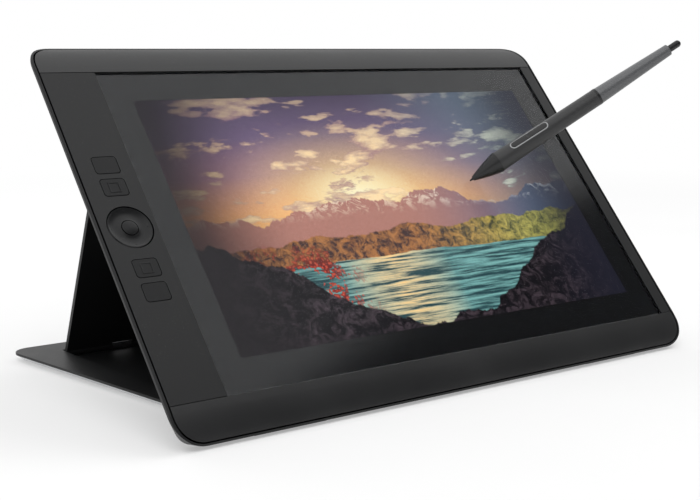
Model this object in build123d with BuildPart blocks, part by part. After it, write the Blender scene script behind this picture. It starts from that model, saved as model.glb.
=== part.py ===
from build123d import *
import math
import os

# Graphics tablet with a built-in screen, leaning on its folding stand, with its cordless pen.
# Lengths are in millimetres and angles in degrees. The origin is the middle of the stand's
# footprint on the desk. X runs to the right, Y to the back and Z up.

# General fits
overrun = 1.0
seam = 0.3
layer_gap = 0.2
slide_fit = 0.3
bore_fit = 0.03
seat_fit = 0.05
web = 1.2
edge_break = 0.25

# Tablet body
tilt = 50.0
body_depth = 14.0
corner_radius = 18.0
back_corner_radius = 6.5
rim_drop = 2.0
side_slant = 33.0
back_round = 2.5
rim_round = 0.6
band_run = 23.2
band_drop = 8.5
rim_wall = 1.3
rim_seam = 1.0
back_wall = 1.6
face_wall = 1.6
frame_tuck = 4.0
frame_play = 0.5
rail_slot_margin = 16.0
rail_slot_width = 7.0

# Screen and the layers behind it
screen_width = 293.8
screen_height = 165.2
left_border = 16.9
right_border = 18.5
long_border = 19.5
control_strip_width = 32.4
right_strip_width = 8.8
glass_thickness = 1.6
lcd_border = 2.9
lcd_thickness = 1.8
bezel_width = 4.0
bezel_thickness = 0.2
backlight_thickness = 2.8
lamp_housing_height = 5.0
digitizer_thickness = 0.8
shield_lap = 4.0
shield_thickness = 0.8
standoff_height = 0.7
standoff_radius = 2.2
board_thickness = 1.0
chip_height = 0.9

# Controls
column_shift = 0.5
key_width = 14.0
key_height = 10.6
key_round = 1.8
key_near = 25.1
key_far = 39.4
key_gap = 0.35
key_proud = 0.1
key_flange = 0.7
key_flange_thickness = 0.6
key_stem = 4.0
key_travel = 0.4
mark_side = 6.4
mark_line = 0.6
mark_proud = 0.25
ring_radius = 12.5
ring_inner = 4.8
ring_gap = 0.5
ring_thickness = 2.0
ring_lip = 0.5
dish_depth = 1.1
dish_inner_depth = 0.7
hub_radius = 6.2
hub_gap = 0.35
button_radius = 4.3
button_crown = 0.5
carrier_radius = 11.4
carrier_thickness = 0.7
carrier_gap = 0.65
collar_radius = 4.6
collar_bore = 3.2
collar_gap = 0.3
button_stem = 2.4
key_board_thickness = 0.8
key_slack = 0.1
key_board_width = 23.6
key_board_length = 120.0
dome_radius = 2.2
dome_height = 1.0
low_dome_height = 0.8
low_dome_reach = 8.8
pocket_floor = 1.8

# Right-hand edge
power_from_socket = 26.0
power_depth = 6.2
power_length = 10.0
power_height = 2.6
power_reach = 7.0
power_travel = 0.4
switch_body = 7.0
socket_from_top = 42.0
socket_depth = 6.4
socket_width = 20.0
socket_height = 5.0
socket_wall = 0.6
socket_back = 1.5
socket_reach = 12.0
tongue_thickness = 1.0
tongue_share = 0.7
board_length = 107.0
board_width = 70.0
board_side_margin = 10.5
board_end_margin = 10.0
chip_side = 11.0
chip_pitch = 22.0

# Back of the tablet
boss_radius = 3.0
screw_radius = 1.0
screw_head_radius = 2.0
screw_head_height = 1.0
screw_sink = 0.2
screw_bite = 3.0
screw_side_margin = 15.5
screw_long_margin = 26.0
screw_from_hook = 20.0
rib_height = 1.3
rib_row_pitch = 45.0
rib_column_pitch = 70.0
rib_side_margin = 17.5
rib_end_margin = 24.0
vent_count = 17
vent_pitch = 7.0
vent_width = 2.0
vent_length = 16.0
vent_from_top = 58.0
foot_length = 44.0
foot_thickness = 1.6
foot_lap = 8.0
foot_side_margin = 67.5
foot_clear = 0.2
back_foot_radius = 6.0
back_foot_height = 1.5
back_foot_proud = 0.9
back_foot_side_margin = 27.5
back_foot_long_margin = 40.0

# Hooks that carry the tablet on the support
hook_from_top = 27.5
hook_standoff = 3.4
hook_radius = 3.1
hook_width = 14.0
hook_inset = 53.2
hook_neck = 5.0
hook_plate_length = 18.0
hook_plate = 1.2
hook_mouth = 2.0
hook_pad = 1.6
rod_radius = 1.2

# Stand
base_width = 338.0
base_taper = 5.5
base_corner = 12.0
base_height = 5.6
base_rim = 1.4
pad_height = 0.8
pad_length = 26.0
pad_width = 8.0
pad_inset = 14.0
skin_thickness = 0.7
skin_lip = 0.5
skin_slant_inset = 4.0
tray_floor = 0.8
tray_wall = 1.6
support_lean = 67.52
hinge_inset = 23.5
front_margin = 17.04
flap_inset = 28.0
flap_thickness = 2.8
flap_corner = 4.0
flap_panel_inset = 12.0
flap_panel_depth = 0.6
barrel_radius = 2.4
top_barrel_radius = 2.3
knuckle_width = 13.0
knuckle_inset = 38.2
knuckle_play = 0.5
bracket_length = 14.0
bracket_thickness = 1.2
pin_radius = 1.2
pin_length = 44.0
notch_play = 1.0
notch_depth = 5.2
finger_width = 46.0
finger_depth = 9.0
recess_play = 0.8
rib_inset = 5.5
bracket_sink = 0.2

# Pen
pen_lean = 40.1
pen_heading = 11.4
pen_roll = -21.0
pen_tip_x = 74.5
pen_tip_y = 10.6
pen_hover = 0.2
nib_radius = 0.8
nib_tip_radius = 0.45
nib_taper = 2.0
nib_length = 29.0
nib_fit = 0.08
nose_start = 2.4
nose_end = 21.6
nose_tip_radius = 1.4
nose_mid_radius = 4.6
nose_end_radius = 7.0
nose_wall = 1.1
coil_start = 12.5
coil_end = 21.0
coil_radius = 2.0
core_start = 21.2
sensor_end = 31.0
sensor_radius = 2.9
core_end = 149.0
core_width = 3.4
core_thickness = 1.0
grip_start_radius = 6.6
grip_swell = 45.0
grip_swell_radius = 6.05
grip_end = 97.0
grip_end_radius = 5.5
grip_bore = 3.2
ring_width = 1.4
ring_step = 0.1
barrel_radius_low = 5.4
barrel_end = 153.0
barrel_end_radius = 3.7
barrel_bore = 2.0
eraser_end = 162.3
eraser_radius = 2.3
eraser_stem_radius = 1.2
eraser_play = 0.8
switch_start = 33.2
switch_end = 59.9
switch_width = 4.2
switch_rim = 0.7
rim_sink = 1.3
switch_proud = 0.5
switch_sink = 2.0
switch_fit = 0.2

# Derived sizes and places
face_inset = rim_wall + rim_seam
glass_width = left_border + screen_width + right_border
body_width = control_strip_width + glass_width + right_strip_width + 2 * face_inset
half_width = body_width / 2
glass_top = screen_height / 2 + long_border
half_height = glass_top + band_run
body_height = 2 * half_height
left_seam_x = control_strip_width + face_inset - half_width
right_seam_x = left_seam_x + glass_width
screen_offset = left_seam_x + left_border + screen_width / 2
column_x = left_seam_x - control_strip_width / 2 + column_shift
sine = math.sin(math.radians(tilt))
cosine = math.cos(math.radians(tilt))
slant_tangent = math.tan(math.radians(side_slant))
slant_cosine = math.cos(math.radians(side_slant))
corner_rate = (corner_radius - back_corner_radius) / (body_depth - rim_drop)
taper_tangent = math.tan(math.radians(base_taper))
taper_cosine = math.cos(math.radians(base_taper))
lcd_top = glass_thickness + layer_gap
lcd_bottom = lcd_top + lcd_thickness
backlight_bottom = lcd_bottom + backlight_thickness
digitizer_bottom = backlight_bottom + digitizer_thickness
frame_top = face_wall + layer_gap
frame_bottom = digitizer_bottom + layer_gap
shield_bottom = frame_bottom + shield_thickness
board_top = shield_bottom + standoff_height
board_bottom = board_top + board_thickness
floor_top = body_depth - back_wall
key_board_top = frame_bottom - pocket_floor - key_board_thickness
stem_end = key_board_top - dome_height - key_travel - key_slack
flange_top = face_wall + slide_fit
carrier_top = ring_thickness + carrier_gap
socket_bottom = socket_depth + socket_height / 2
socket_face = half_width - (socket_bottom - rim_drop) * slant_tangent - layer_gap
lcd_width = screen_width + 2 * lcd_border
lcd_height = screen_height + 2 * lcd_border
frame_half_width = half_width - rim_wall - (frame_bottom - rim_drop) * slant_tangent - frame_play
frame_half_height = glass_top + frame_tuck
hook_y = half_height - hook_from_top
hook_depth = body_depth + hook_standoff
socket_station = half_height - socket_from_top
power_station = socket_station - power_from_socket
board_right = half_width - board_side_margin
board_left = board_right - board_length
board_high = socket_station + board_end_margin
board_low = board_high - board_width
flap_half_width = base_width / 2 - flap_inset
knuckle_x = flap_half_width - knuckle_inset
hook_x = flap_half_width - hook_inset
outer_screw_x = half_width - screw_side_margin
inner_screw_x = hook_x - screw_from_hook
screw_y = half_height - screw_long_margin
screw_columns = (-outer_screw_x, -inner_screw_x, inner_screw_x, outer_screw_x)
rib_span = body_width - 2 * rib_side_margin
rib_low = rib_end_margin - half_height
foot_x = half_width - foot_side_margin
back_foot_x = half_width - back_foot_side_margin
back_foot_y = half_height - back_foot_long_margin

# The tablet stands on the rounded lower corner of its back, at the set tilt
corner_y = half_height - (body_depth - back_round - rim_drop) * slant_tangent - back_round / slant_cosine
corner_depth = body_depth - back_round
foot_reach = back_round + foot_thickness / 2
foot_top = corner_depth - foot_lap / 2
wall_point = (-half_height + (foot_top - rim_drop) * slant_tangent, -foot_top)
knee = (-half_height + (body_depth - rim_drop) * slant_tangent, -body_depth)
back_point = (-corner_y + foot_lap, -body_depth)
screen_z = corner_y * sine + corner_depth * cosine + foot_reach + foot_clear

# The support rises from its hinge in the base to the rod under the tablet's hooks, and the base
# is as deep as the folded support needs
hinge_z = base_height - flap_thickness / 2
rod_z = screen_z + hook_y * sine - hook_depth * cosine
flap_angle = math.radians(support_lean)
flap_length = (rod_z - hinge_z) / math.sin(flap_angle)
base_depth = hinge_inset + flap_length + top_barrel_radius + recess_play + front_margin
hinge_y = base_depth / 2 - hinge_inset
rod_y = hinge_y - flap_length * math.cos(flap_angle)
screen_y = rod_y - hook_y * cosine - hook_depth * sine
face_plane = Plane(origin=(0, screen_y, screen_z), x_dir=(1, 0, 0), z_dir=(0, -sine, cosine))
flap_plane = Plane(
    origin=(0, hinge_y, hinge_z),
    x_dir=(1, 0, 0),
    z_dir=(0, -math.sin(flap_angle), -math.cos(flap_angle)),
)


def turned(direction: Vector) -> Vector:
    """A direction given along the glass's own axes, turned to the stand's."""
    return face_plane.x_dir * direction.X + face_plane.y_dir * direction.Y + face_plane.z_dir * direction.Z


# The pen stands on the glass, leaning to the right and a little up the screen
lean = math.radians(pen_lean)
heading = math.radians(pen_heading)
pen_axis = Vector(math.cos(lean) * math.cos(heading), math.cos(lean) * math.sin(heading), math.sin(lean))
pen_rise = Vector(-math.sin(lean) * math.cos(heading), -math.sin(lean) * math.sin(heading), math.cos(lean))
pen_side = pen_axis.cross(pen_rise)
roll = math.radians(pen_roll)
pen_switch_side = pen_rise * math.cos(roll) + pen_side * math.sin(roll)
pen_plane = Plane(
    origin=face_plane.from_local_coords(Vector(pen_tip_x, pen_tip_y, pen_hover)),
    x_dir=turned(pen_switch_side),
    z_dir=turned(pen_axis),
)


def sheet(depth: float) -> Plane:
    """Plane parallel to the glass, this far below its surface."""
    return face_plane.offset(-depth)


def across(x: float) -> Plane:
    """Plane across the tablet at x: its own x runs up the screen, its own y out of it."""
    return Plane(
        origin=face_plane.from_local_coords(Vector(x, 0, 0)),
        x_dir=face_plane.y_dir,
        z_dir=face_plane.x_dir,
    )


def upright(x: float) -> Plane:
    """Upright plane across the stand at x: its own x runs to the back, its own y up."""
    return Plane(origin=(x, 0, 0), x_dir=(0, 1, 0), z_dir=(1, 0, 0))


def body_outline(fall: float, inset: float) -> None:
    """Rounded outline of the tablet this far behind its rim, drawn this far inside its skin."""
    trim = 2 * (inset + fall * slant_tangent)
    RectangleRounded(body_width - trim, body_height - trim, corner_radius - inset - fall * corner_rate)


def slanted_block(inset: float, top: float, bottom: float) -> Part:
    """Solid inside the tablet's slanted sides, from a height above the glass to a depth below it."""
    with BuildPart() as block:
        with BuildSketch(sheet(rim_drop)):
            body_outline(0, inset)
        extrude(amount=rim_drop + top)
        with BuildSketch(sheet(rim_drop)):
            body_outline(0, inset)
        with BuildSketch(sheet(bottom)):
            body_outline(bottom - rim_drop, inset)
        loft(ruled=True)
    return block.part


def band_section(x: float, wall: float, drop: float) -> Sketch:
    """Section of the tablet at x with its top and bottom rolled over, this far inside its skin."""
    with BuildSketch(across(x)) as section:
        with BuildLine():
            upper = EllipticalCenterArc(
                (glass_top, -band_drop), band_run - wall, band_drop - wall, start_angle=0, arc_size=90
            )
            lower = EllipticalCenterArc(
                (-glass_top, -band_drop), band_run - wall, band_drop - wall, start_angle=90, arc_size=90
            )
            Line(upper @ 1, lower @ 0)
            Polyline(lower @ 1, (-half_height + wall, -drop), (half_height - wall, -drop), upper @ 0)
        make_face()
    return section.sketch


# Shapes that several pieces of the tablet share
outward = Axis(face_plane.origin, face_plane.z_dir)
outer_block = slanted_block(0, 0, body_depth)
cavity = slanted_block(rim_wall, overrun, floor_top)
inner_block = slanted_block(face_inset, overrun, band_drop)

with BuildPart() as envelope:
    add(outer_block)
    fillet(envelope.faces().sort_by(outward)[0].edges(), radius=back_round)
    extrude(
        band_section(-half_width - overrun, 0, body_depth + overrun),
        amount=body_width + 2 * overrun,
        mode=Mode.INTERSECT,
    )
    long_edges = envelope.edges().filter_by(Axis(face_plane.origin, face_plane.y_dir))
    fillet(long_edges.sort_by(outward)[-2:], radius=rim_round)

with BuildPart() as face_block:
    add(inner_block)
    add(envelope.part, mode=Mode.INTERSECT)

# Rear cover
with BuildPart() as rear_cover:
    add(envelope.part)
    add(cavity, mode=Mode.SUBTRACT)
    with BuildSketch(sheet(frame_bottom)):
        with Locations([(x, y) for x in screw_columns for y in (-screw_y, screw_y)]):
            Circle(boss_radius)
    extrude(amount=-(floor_top - frame_bottom))
    with BuildSketch(sheet(floor_top)):
        with GridLocations(0, rib_row_pitch, 1, 3):
            Rectangle(rib_span, web)
        with Locations((0, (rib_low + rib_row_pitch) / 2)):
            with GridLocations(rib_column_pitch, 0, 4, 1):
                Rectangle(web, rib_row_pitch - rib_low)
    extrude(amount=rib_height)
    with BuildSketch(sheet(floor_top)):
        with Locations((-hook_x, hook_y), (hook_x, hook_y)):
            Rectangle(hook_width + 2 * hook_pad, hook_plate_length + 2 * hook_pad)
    extrude(amount=hook_pad)
    with BuildSketch(sheet(body_depth)):
        with Locations((-hook_x, hook_y), (hook_x, hook_y)):
            Rectangle(hook_width + 2 * seat_fit, hook_plate_length + 2 * seat_fit)
    extrude(amount=hook_plate, mode=Mode.SUBTRACT)
    with BuildSketch(sheet(body_depth)):
        with Locations((0, half_height - vent_from_top)):
            with GridLocations(vent_pitch, 0, vent_count, 1):
                SlotOverall(vent_length, vent_width, rotation=90)
    extrude(amount=back_wall + overrun, mode=Mode.SUBTRACT)
    with BuildSketch(sheet(body_depth)):
        with GridLocations(2 * back_foot_x, 2 * back_foot_y, 2, 2):
            Circle(back_foot_radius + seat_fit)
    extrude(amount=back_foot_height - back_foot_proud, mode=Mode.SUBTRACT)
    with BuildSketch(sheet(body_depth)):
        with Locations([(x, y) for x in screw_columns for y in (-screw_y, screw_y)]):
            Circle(screw_head_radius + slide_fit)
    extrude(amount=screw_head_height + screw_sink, mode=Mode.SUBTRACT)
    with BuildSketch(sheet(body_depth)):
        with Locations([(x, y) for x in screw_columns for y in (-screw_y, screw_y)]):
            Circle(screw_radius + seat_fit)
    extrude(amount=body_depth - frame_bottom + overrun, mode=Mode.SUBTRACT)
    with BuildSketch(across(half_width + overrun)):
        with Locations((power_station, -power_depth)):
            SlotOverall(power_length + 2 * slide_fit, power_height + 2 * slide_fit)
        with Locations((socket_station, -socket_depth)):
            Rectangle(socket_width + 2 * slide_fit, socket_height + 2 * slide_fit)
    extrude(amount=-(half_width - frame_half_width + 2 * overrun), mode=Mode.SUBTRACT)
    for side in (-1, 1):
        with BuildSketch(across(side * foot_x - foot_length / 2 - seat_fit)):
            with BuildLine():
                FilletPolyline(wall_point, knee, back_point, radius=back_round)
            trace(line_width=foot_thickness)
        extrude(amount=foot_length + 2 * seat_fit, mode=Mode.SUBTRACT)

# Rubber feet that wrap the lower corner of the back
feet = {}
for name, side in (("foot_left", -1), ("foot_right", 1)):
    with BuildPart() as foot:
        with BuildSketch(across(side * foot_x - foot_length / 2)):
            with BuildLine():
                FilletPolyline(wall_point, knee, back_point, radius=back_round)
            trace(line_width=foot_thickness - seat_fit)
        extrude(amount=foot_length)
    foot.part.label = name
    feet[name] = foot.part

with BuildPart() as back_feet:
    with BuildSketch(sheet(body_depth + back_foot_proud)):
        with GridLocations(2 * back_foot_x, 2 * back_foot_y, 2, 2):
            Circle(back_foot_radius)
    extrude(amount=back_foot_height)

with BuildPart() as case_screws:
    with BuildSketch(sheet(body_depth - screw_sink)):
        with Locations([(x, y) for x in screw_columns for y in (-screw_y, screw_y)]):
            Circle(screw_head_radius)
    extrude(amount=screw_head_height)
    with BuildSketch(sheet(body_depth - screw_sink - screw_head_height)):
        with Locations([(x, y) for x in screw_columns for y in (-screw_y, screw_y)]):
            Circle(screw_radius)
    extrude(amount=body_depth - screw_sink - screw_head_height - frame_bottom + screw_bite)

# Rolled bands along the top and bottom edges
bands = {}
for name, side in (("upper_band", 1), ("lower_band", -1)):
    with BuildPart() as band:
        add(face_block.part)
        extrude(
            band_section(-half_width + face_inset + face_wall, face_wall, band_drop + overrun),
            amount=body_width - 2 * face_inset - 2 * face_wall,
            mode=Mode.SUBTRACT,
        )
        with BuildSketch(across(-half_width)):
            with Locations((side * (frame_half_height + layer_gap + band_run / 2), -band_drop / 2)):
                Rectangle(band_run, band_drop - 2 * rim_drop)
        rib_bar = extrude(amount=body_width, mode=Mode.PRIVATE)
        rib_bar = rib_bar & face_block.part
        with BuildSketch(sheet(-overrun)):
            with Locations((0, side * half_height)):
                with GridLocations(body_width / len(screw_columns) / 2, 0, 2 * len(screw_columns) - 1, 1):
                    Rectangle(web, body_height)
        rib_walls = extrude(amount=-(body_depth + overrun), mode=Mode.PRIVATE)
        add(rib_bar & rib_walls)
        with BuildSketch(sheet(-overrun)):
            with Locations((0, side * (glass_top + seam / 2 + body_height / 2))):
                Rectangle(body_width, body_height)
        extrude(amount=-(body_depth + overrun), mode=Mode.INTERSECT)
    band.part.label = name
    bands[name] = band.part

# Strips of the face to the left and right of the glass
with BuildPart() as control_strip:
    strip_left = -half_width + face_inset
    strip_right = left_seam_x - seam / 2
    with BuildSketch(sheet(0)):
        with Locations(((strip_left + strip_right) / 2, 0)):
            Rectangle(strip_right - strip_left, 2 * glass_top - seam)
    extrude(amount=-face_wall)
    fillet(control_strip.faces().sort_by(outward)[-1].edges(), radius=edge_break)
    with BuildSketch(sheet(-overrun)):
        with Locations([(column_x, y) for y in (key_far, key_near, -key_near, -key_far)]):
            RectangleRounded(key_width + 2 * key_gap, key_height + 2 * key_gap, key_round + key_gap)
        with Locations((column_x, 0)):
            Circle(ring_radius + ring_gap)
    extrude(amount=-(face_wall + 2 * overrun), mode=Mode.SUBTRACT)

with BuildPart() as right_strip:
    strip_left = right_seam_x + seam / 2
    strip_right = half_width - face_inset
    with BuildSketch(sheet(0)):
        with Locations(((strip_left + strip_right) / 2, 0)):
            Rectangle(strip_right - strip_left, 2 * glass_top - seam)
    extrude(amount=-face_wall)
    fillet(right_strip.faces().sort_by(outward)[-1].edges(), radius=edge_break)

with BuildPart() as cover_glass:
    with BuildSketch(sheet(0)):
        with Locations(((left_seam_x + right_seam_x) / 2, 0)):
            Rectangle(right_seam_x - left_seam_x - seam, 2 * glass_top - seam)
    extrude(amount=-glass_thickness)
    fillet(cover_glass.faces().sort_by(outward)[-1].edges(), radius=edge_break)

# Screen stack, from the glass backwards
with BuildPart() as lcd_panel:
    with BuildSketch(sheet(lcd_top)):
        with Locations((screen_offset, 0)):
            Rectangle(lcd_width, lcd_height)
    extrude(amount=-lcd_thickness)

with BuildPart() as backlight:
    with BuildSketch(sheet(lcd_bottom)):
        with Locations((screen_offset, 0)):
            Rectangle(lcd_width, lcd_height)
    extrude(amount=-backlight_thickness)
    with BuildSketch(sheet(backlight_bottom)):
        with Locations((screen_offset, (lamp_housing_height - bezel_width) / 2)):
            Rectangle(lcd_width - 2 * bezel_width, lcd_height - bezel_width - lamp_housing_height)
    extrude(amount=bezel_thickness, mode=Mode.SUBTRACT)

with BuildPart() as digitizer_board:
    with BuildSketch(sheet(backlight_bottom)):
        with Locations((screen_offset, 0)):
            RectangleRounded(lcd_width, lcd_height, bezel_width / 2)
    extrude(amount=-digitizer_thickness)

with BuildPart() as shield_plate:
    with BuildSketch(sheet(frame_bottom)):
        with Locations((screen_offset, 0)):
            RectangleRounded(lcd_width + 2 * shield_lap, lcd_height + 2 * shield_lap, shield_lap)
    extrude(amount=-shield_thickness)
    with BuildSketch(sheet(shield_bottom)):
        with Locations(((board_left + board_right) / 2 - shield_lap, (board_low + board_high) / 2)):
            with GridLocations((board_right - board_left) / 2, (board_high - board_low) / 2, 2, 2):
                Circle(standoff_radius)
    extrude(amount=-standoff_height)

# Frame that carries the screen, with a pocket for the keys
with BuildPart() as mid_frame:
    with BuildSketch(sheet(frame_top)):
        RectangleRounded(2 * frame_half_width, 2 * frame_half_height, corner_radius - frame_tuck)
        with Locations((screen_offset, 0)):
            Rectangle(lcd_width + 2 * slide_fit, lcd_height + 2 * slide_fit, mode=Mode.SUBTRACT)
    extrude(amount=-(frame_bottom - frame_top))
    with BuildSketch(sheet(frame_top)):
        with Locations((column_x, 0)):
            Rectangle(key_board_width + 2 * slide_fit, key_board_length + 2 * slide_fit)
            Circle(ring_radius + ring_gap)
    extrude(amount=-(frame_bottom - pocket_floor - frame_top), mode=Mode.SUBTRACT)
    with BuildSketch(sheet(frame_bottom)):
        with Locations([(x, y) for x in screw_columns for y in (-screw_y, screw_y)]):
            Circle(screw_radius + seat_fit)
    extrude(amount=screw_bite + layer_gap, mode=Mode.SUBTRACT)
    with BuildSketch(sheet(frame_top)):
        with Locations((half_width, socket_station)):
            Rectangle(2 * (half_width - board_right + socket_reach), socket_width + 2 * web)
        with Locations((half_width, power_station)):
            Rectangle(2 * (half_width - board_right + power_reach), power_length + 2 * web)
    extrude(amount=-(frame_bottom - frame_top), mode=Mode.SUBTRACT)
    with BuildSketch(sheet(frame_top)):
        rail_y = (frame_half_height + lcd_height / 2) / 2
        with GridLocations(0, 2 * rail_y, 1, 2):
            SlotOverall(2 * (inner_screw_x - rail_slot_margin), rail_slot_width)
        with GridLocations(outer_screw_x + inner_screw_x, 2 * rail_y, 2, 2):
            SlotOverall(outer_screw_x - inner_screw_x - 2 * rail_slot_margin, rail_slot_width)
    extrude(amount=-(frame_bottom - frame_top) / 2, mode=Mode.SUBTRACT)

# Circuit boards
with BuildPart() as main_board:
    with BuildSketch(sheet(board_top)):
        with Locations(((board_left + board_right) / 2, (board_low + board_high) / 2)):
            RectangleRounded(board_right - board_left, board_high - board_low, standoff_radius)
    extrude(amount=-board_thickness)
    with BuildSketch(sheet(board_bottom)):
        with Locations(((board_left + board_right) / 2, (board_low + board_high) / 2)):
            with GridLocations(chip_pitch, chip_pitch, 3, 2):
                Rectangle(chip_side, chip_side)
    extrude(amount=-chip_height)
    switch_right = half_width - power_reach - power_travel - key_slack
    with BuildSketch(sheet(board_top)):
        with Locations((switch_right - switch_body / 2, power_station)):
            Rectangle(switch_body, power_length - 2 * slide_fit)
    extrude(amount=board_top - power_depth + power_height / 2)

with BuildPart() as key_board:
    with BuildSketch(sheet(key_board_top)):
        with Locations((column_x, 0)):
            Rectangle(key_board_width, key_board_length)
    extrude(amount=-key_board_thickness)
    with BuildSketch(sheet(key_board_top)):
        with Locations([(column_x, y) for y in (key_far, key_near, 0, -key_near, -key_far)]):
            Circle(dome_radius)
    extrude(amount=dome_height)
    with BuildSketch(sheet(key_board_top)):
        with Locations((column_x, 0)):
            with PolarLocations(low_dome_reach, 4):
                Circle(dome_radius)
    extrude(amount=low_dome_height)

# Four keys, two of them with a raised mark for the finger
keys = {}
for name, y, marked in (
    ("key_1", key_far, False),
    ("key_2", key_near, True),
    ("key_3", -key_near, True),
    ("key_4", -key_far, False),
):
    with BuildPart() as key:
        with BuildSketch(sheet(-key_proud)):
            with Locations((column_x, y)):
                RectangleRounded(key_width, key_height, key_round)
        extrude(amount=-(key_proud + flange_top))
        fillet(key.faces().sort_by(outward)[-1].edges(), radius=edge_break)
        with BuildSketch(sheet(flange_top)):
            with Locations((column_x, y)):
                RectangleRounded(key_width + 2 * key_flange, key_height + 2 * key_flange, key_round)
        extrude(amount=-key_flange_thickness)
        with BuildSketch(sheet(flange_top + key_flange_thickness)):
            with Locations((column_x, y)):
                Rectangle(key_stem, key_stem)
        extrude(amount=-(stem_end - flange_top - key_flange_thickness))
        if marked:
            with BuildSketch(sheet(-key_proud)):
                with Locations((column_x, y)):
                    Rectangle(mark_side, mark_side)
                    Rectangle(mark_side - 2 * mark_line, mark_side - 2 * mark_line, mode=Mode.SUBTRACT)
            extrude(amount=mark_proud)
    key.part.label = name
    keys[name] = key.part

# Rocker ring with its dished face, the carrier that it rocks on and the button in its middle
ring_axis = Axis(face_plane.from_local_coords(Vector(column_x, 0, 0)), face_plane.z_dir)

with BuildPart() as rocker_ring:
    with BuildSketch(across(column_x)):
        with BuildLine():
            dish = ThreePointArc(
                (ring_inner, -dish_inner_depth),
                ((ring_inner + ring_radius) / 2, -dish_depth),
                (ring_radius - ring_lip, 0),
            )
            Polyline(
                dish @ 1,
                (ring_radius, -ring_lip),
                (ring_radius, -ring_thickness),
                (hub_radius, -ring_thickness),
                (hub_radius, hub_gap - carrier_top),
                (ring_inner, hub_gap - carrier_top),
                dish @ 0,
            )
        make_face()
    revolve(axis=ring_axis)

with BuildPart() as rocker_carrier:
    with BuildSketch(sheet(carrier_top)):
        with Locations((column_x, 0)):
            Circle(carrier_radius)
    extrude(amount=-carrier_thickness)
    with BuildSketch(sheet(carrier_top)):
        with Locations((column_x, 0)):
            Circle(collar_radius)
    extrude(amount=-(key_board_top - collar_gap - carrier_top))
    with BuildSketch(sheet(carrier_top)):
        with Locations((column_x, 0)):
            Circle(collar_bore)
    extrude(amount=-(key_board_top - carrier_top), mode=Mode.SUBTRACT)

with BuildPart() as home_button:
    with BuildSketch(across(column_x)):
        with BuildLine():
            crown = TangentArc((0, key_proud), (button_radius, -button_crown), tangent=(1, 0))
            Polyline(
                crown @ 1,
                (button_radius, -ring_thickness),
                (button_stem, -ring_thickness),
                (button_stem, -stem_end),
                (0, -stem_end),
                crown @ 0,
            )
        make_face()
    revolve(axis=ring_axis)

# Power button and cable socket in the right-hand edge
with BuildPart() as power_button:
    with BuildSketch(across(half_width)):
        with Locations((power_station, -power_depth)):
            SlotOverall(power_length, power_height)
    extrude(amount=-power_reach)
    add(envelope.part, mode=Mode.INTERSECT)

with BuildPart() as cable_socket:
    with BuildSketch(across(socket_face)):
        with Locations((socket_station, -socket_depth)):
            Rectangle(socket_width, socket_height)
    extrude(amount=-socket_reach)
    with BuildSketch(across(socket_face)):
        with Locations((socket_station, -socket_depth)):
            Rectangle(socket_width - 2 * socket_wall, socket_height - 2 * socket_wall)
    extrude(amount=-(socket_reach - socket_back), mode=Mode.SUBTRACT)
    with BuildSketch(across(socket_face - socket_reach + socket_back)):
        with Locations((socket_station, -socket_depth)):
            Rectangle(socket_width * tongue_share, tongue_thickness)
    extrude(amount=(socket_reach - socket_back) * tongue_share)

# Hooks on the back that snap over the support's rods
hooks = {}
for name, side in (("hook_left", -1), ("hook_right", 1)):
    with BuildPart() as hook:
        with BuildSketch(across(side * hook_x - hook_width / 2)):
            with Locations((hook_y, -hook_depth)):
                Circle(hook_radius)
            with Locations((hook_y, -(body_depth - hook_plate + hook_depth) / 2)):
                Rectangle(hook_neck, hook_depth - body_depth + hook_plate)
            with Locations((hook_y, hook_plate / 2 - body_depth)):
                Rectangle(hook_plate_length, hook_plate)
            with Locations((hook_y, -hook_depth)):
                Circle(rod_radius + seat_fit, mode=Mode.SUBTRACT)
            with Locations((hook_y, -hook_depth - hook_radius / 2 - overrun / 2)):
                Rectangle(hook_mouth, hook_radius + overrun, mode=Mode.SUBTRACT)
        extrude(amount=hook_width)
    hook.part.label = name
    hooks[name] = hook.part

# Support flap with its hinge barrel, its top barrel and the notches for knuckles and hooks
with BuildPart() as support_flap:
    with BuildSketch(flap_plane.offset(-flap_thickness / 2)):
        with Locations((0, flap_length / 2)):
            Rectangle(2 * flap_half_width, flap_length)
    extrude(amount=flap_thickness)
    with BuildSketch(upright(-flap_half_width)):
        with Locations((hinge_y, hinge_z)):
            Circle(barrel_radius)
        with Locations((rod_y, rod_z)):
            Circle(top_barrel_radius)
    extrude(amount=2 * flap_half_width)
    with BuildSketch(flap_plane.offset(-flap_thickness / 2)):
        with Locations((0, flap_length / 2)):
            RectangleRounded(
                2 * (flap_half_width - flap_panel_inset), flap_length - 2 * flap_panel_inset, flap_corner
            )
    extrude(amount=flap_panel_depth, mode=Mode.SUBTRACT)
    with BuildSketch(flap_plane.offset(-barrel_radius - overrun)):
        with Locations((-knuckle_x, 0), (knuckle_x, 0)):
            Rectangle(knuckle_width + 2 * knuckle_play, 2 * (barrel_radius + overrun))
        with Locations((-hook_x, flap_length), (hook_x, flap_length)):
            Rectangle(hook_width + 2 * notch_play, 2 * notch_depth)
    extrude(amount=2 * (barrel_radius + overrun), mode=Mode.SUBTRACT)
    for side in (-1, 1):
        with BuildSketch(upright(side * knuckle_x - pin_length / 2 - layer_gap)):
            with Locations((hinge_y, hinge_z)):
                Circle(pin_radius + bore_fit)
        extrude(amount=pin_length + 2 * layer_gap, mode=Mode.SUBTRACT)
        with BuildSketch(upright(side * hook_x - pin_length / 2 - layer_gap)):
            with Locations((rod_y, rod_z)):
                Circle(rod_radius + bore_fit)
        extrude(amount=pin_length + 2 * layer_gap, mode=Mode.SUBTRACT)

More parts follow.
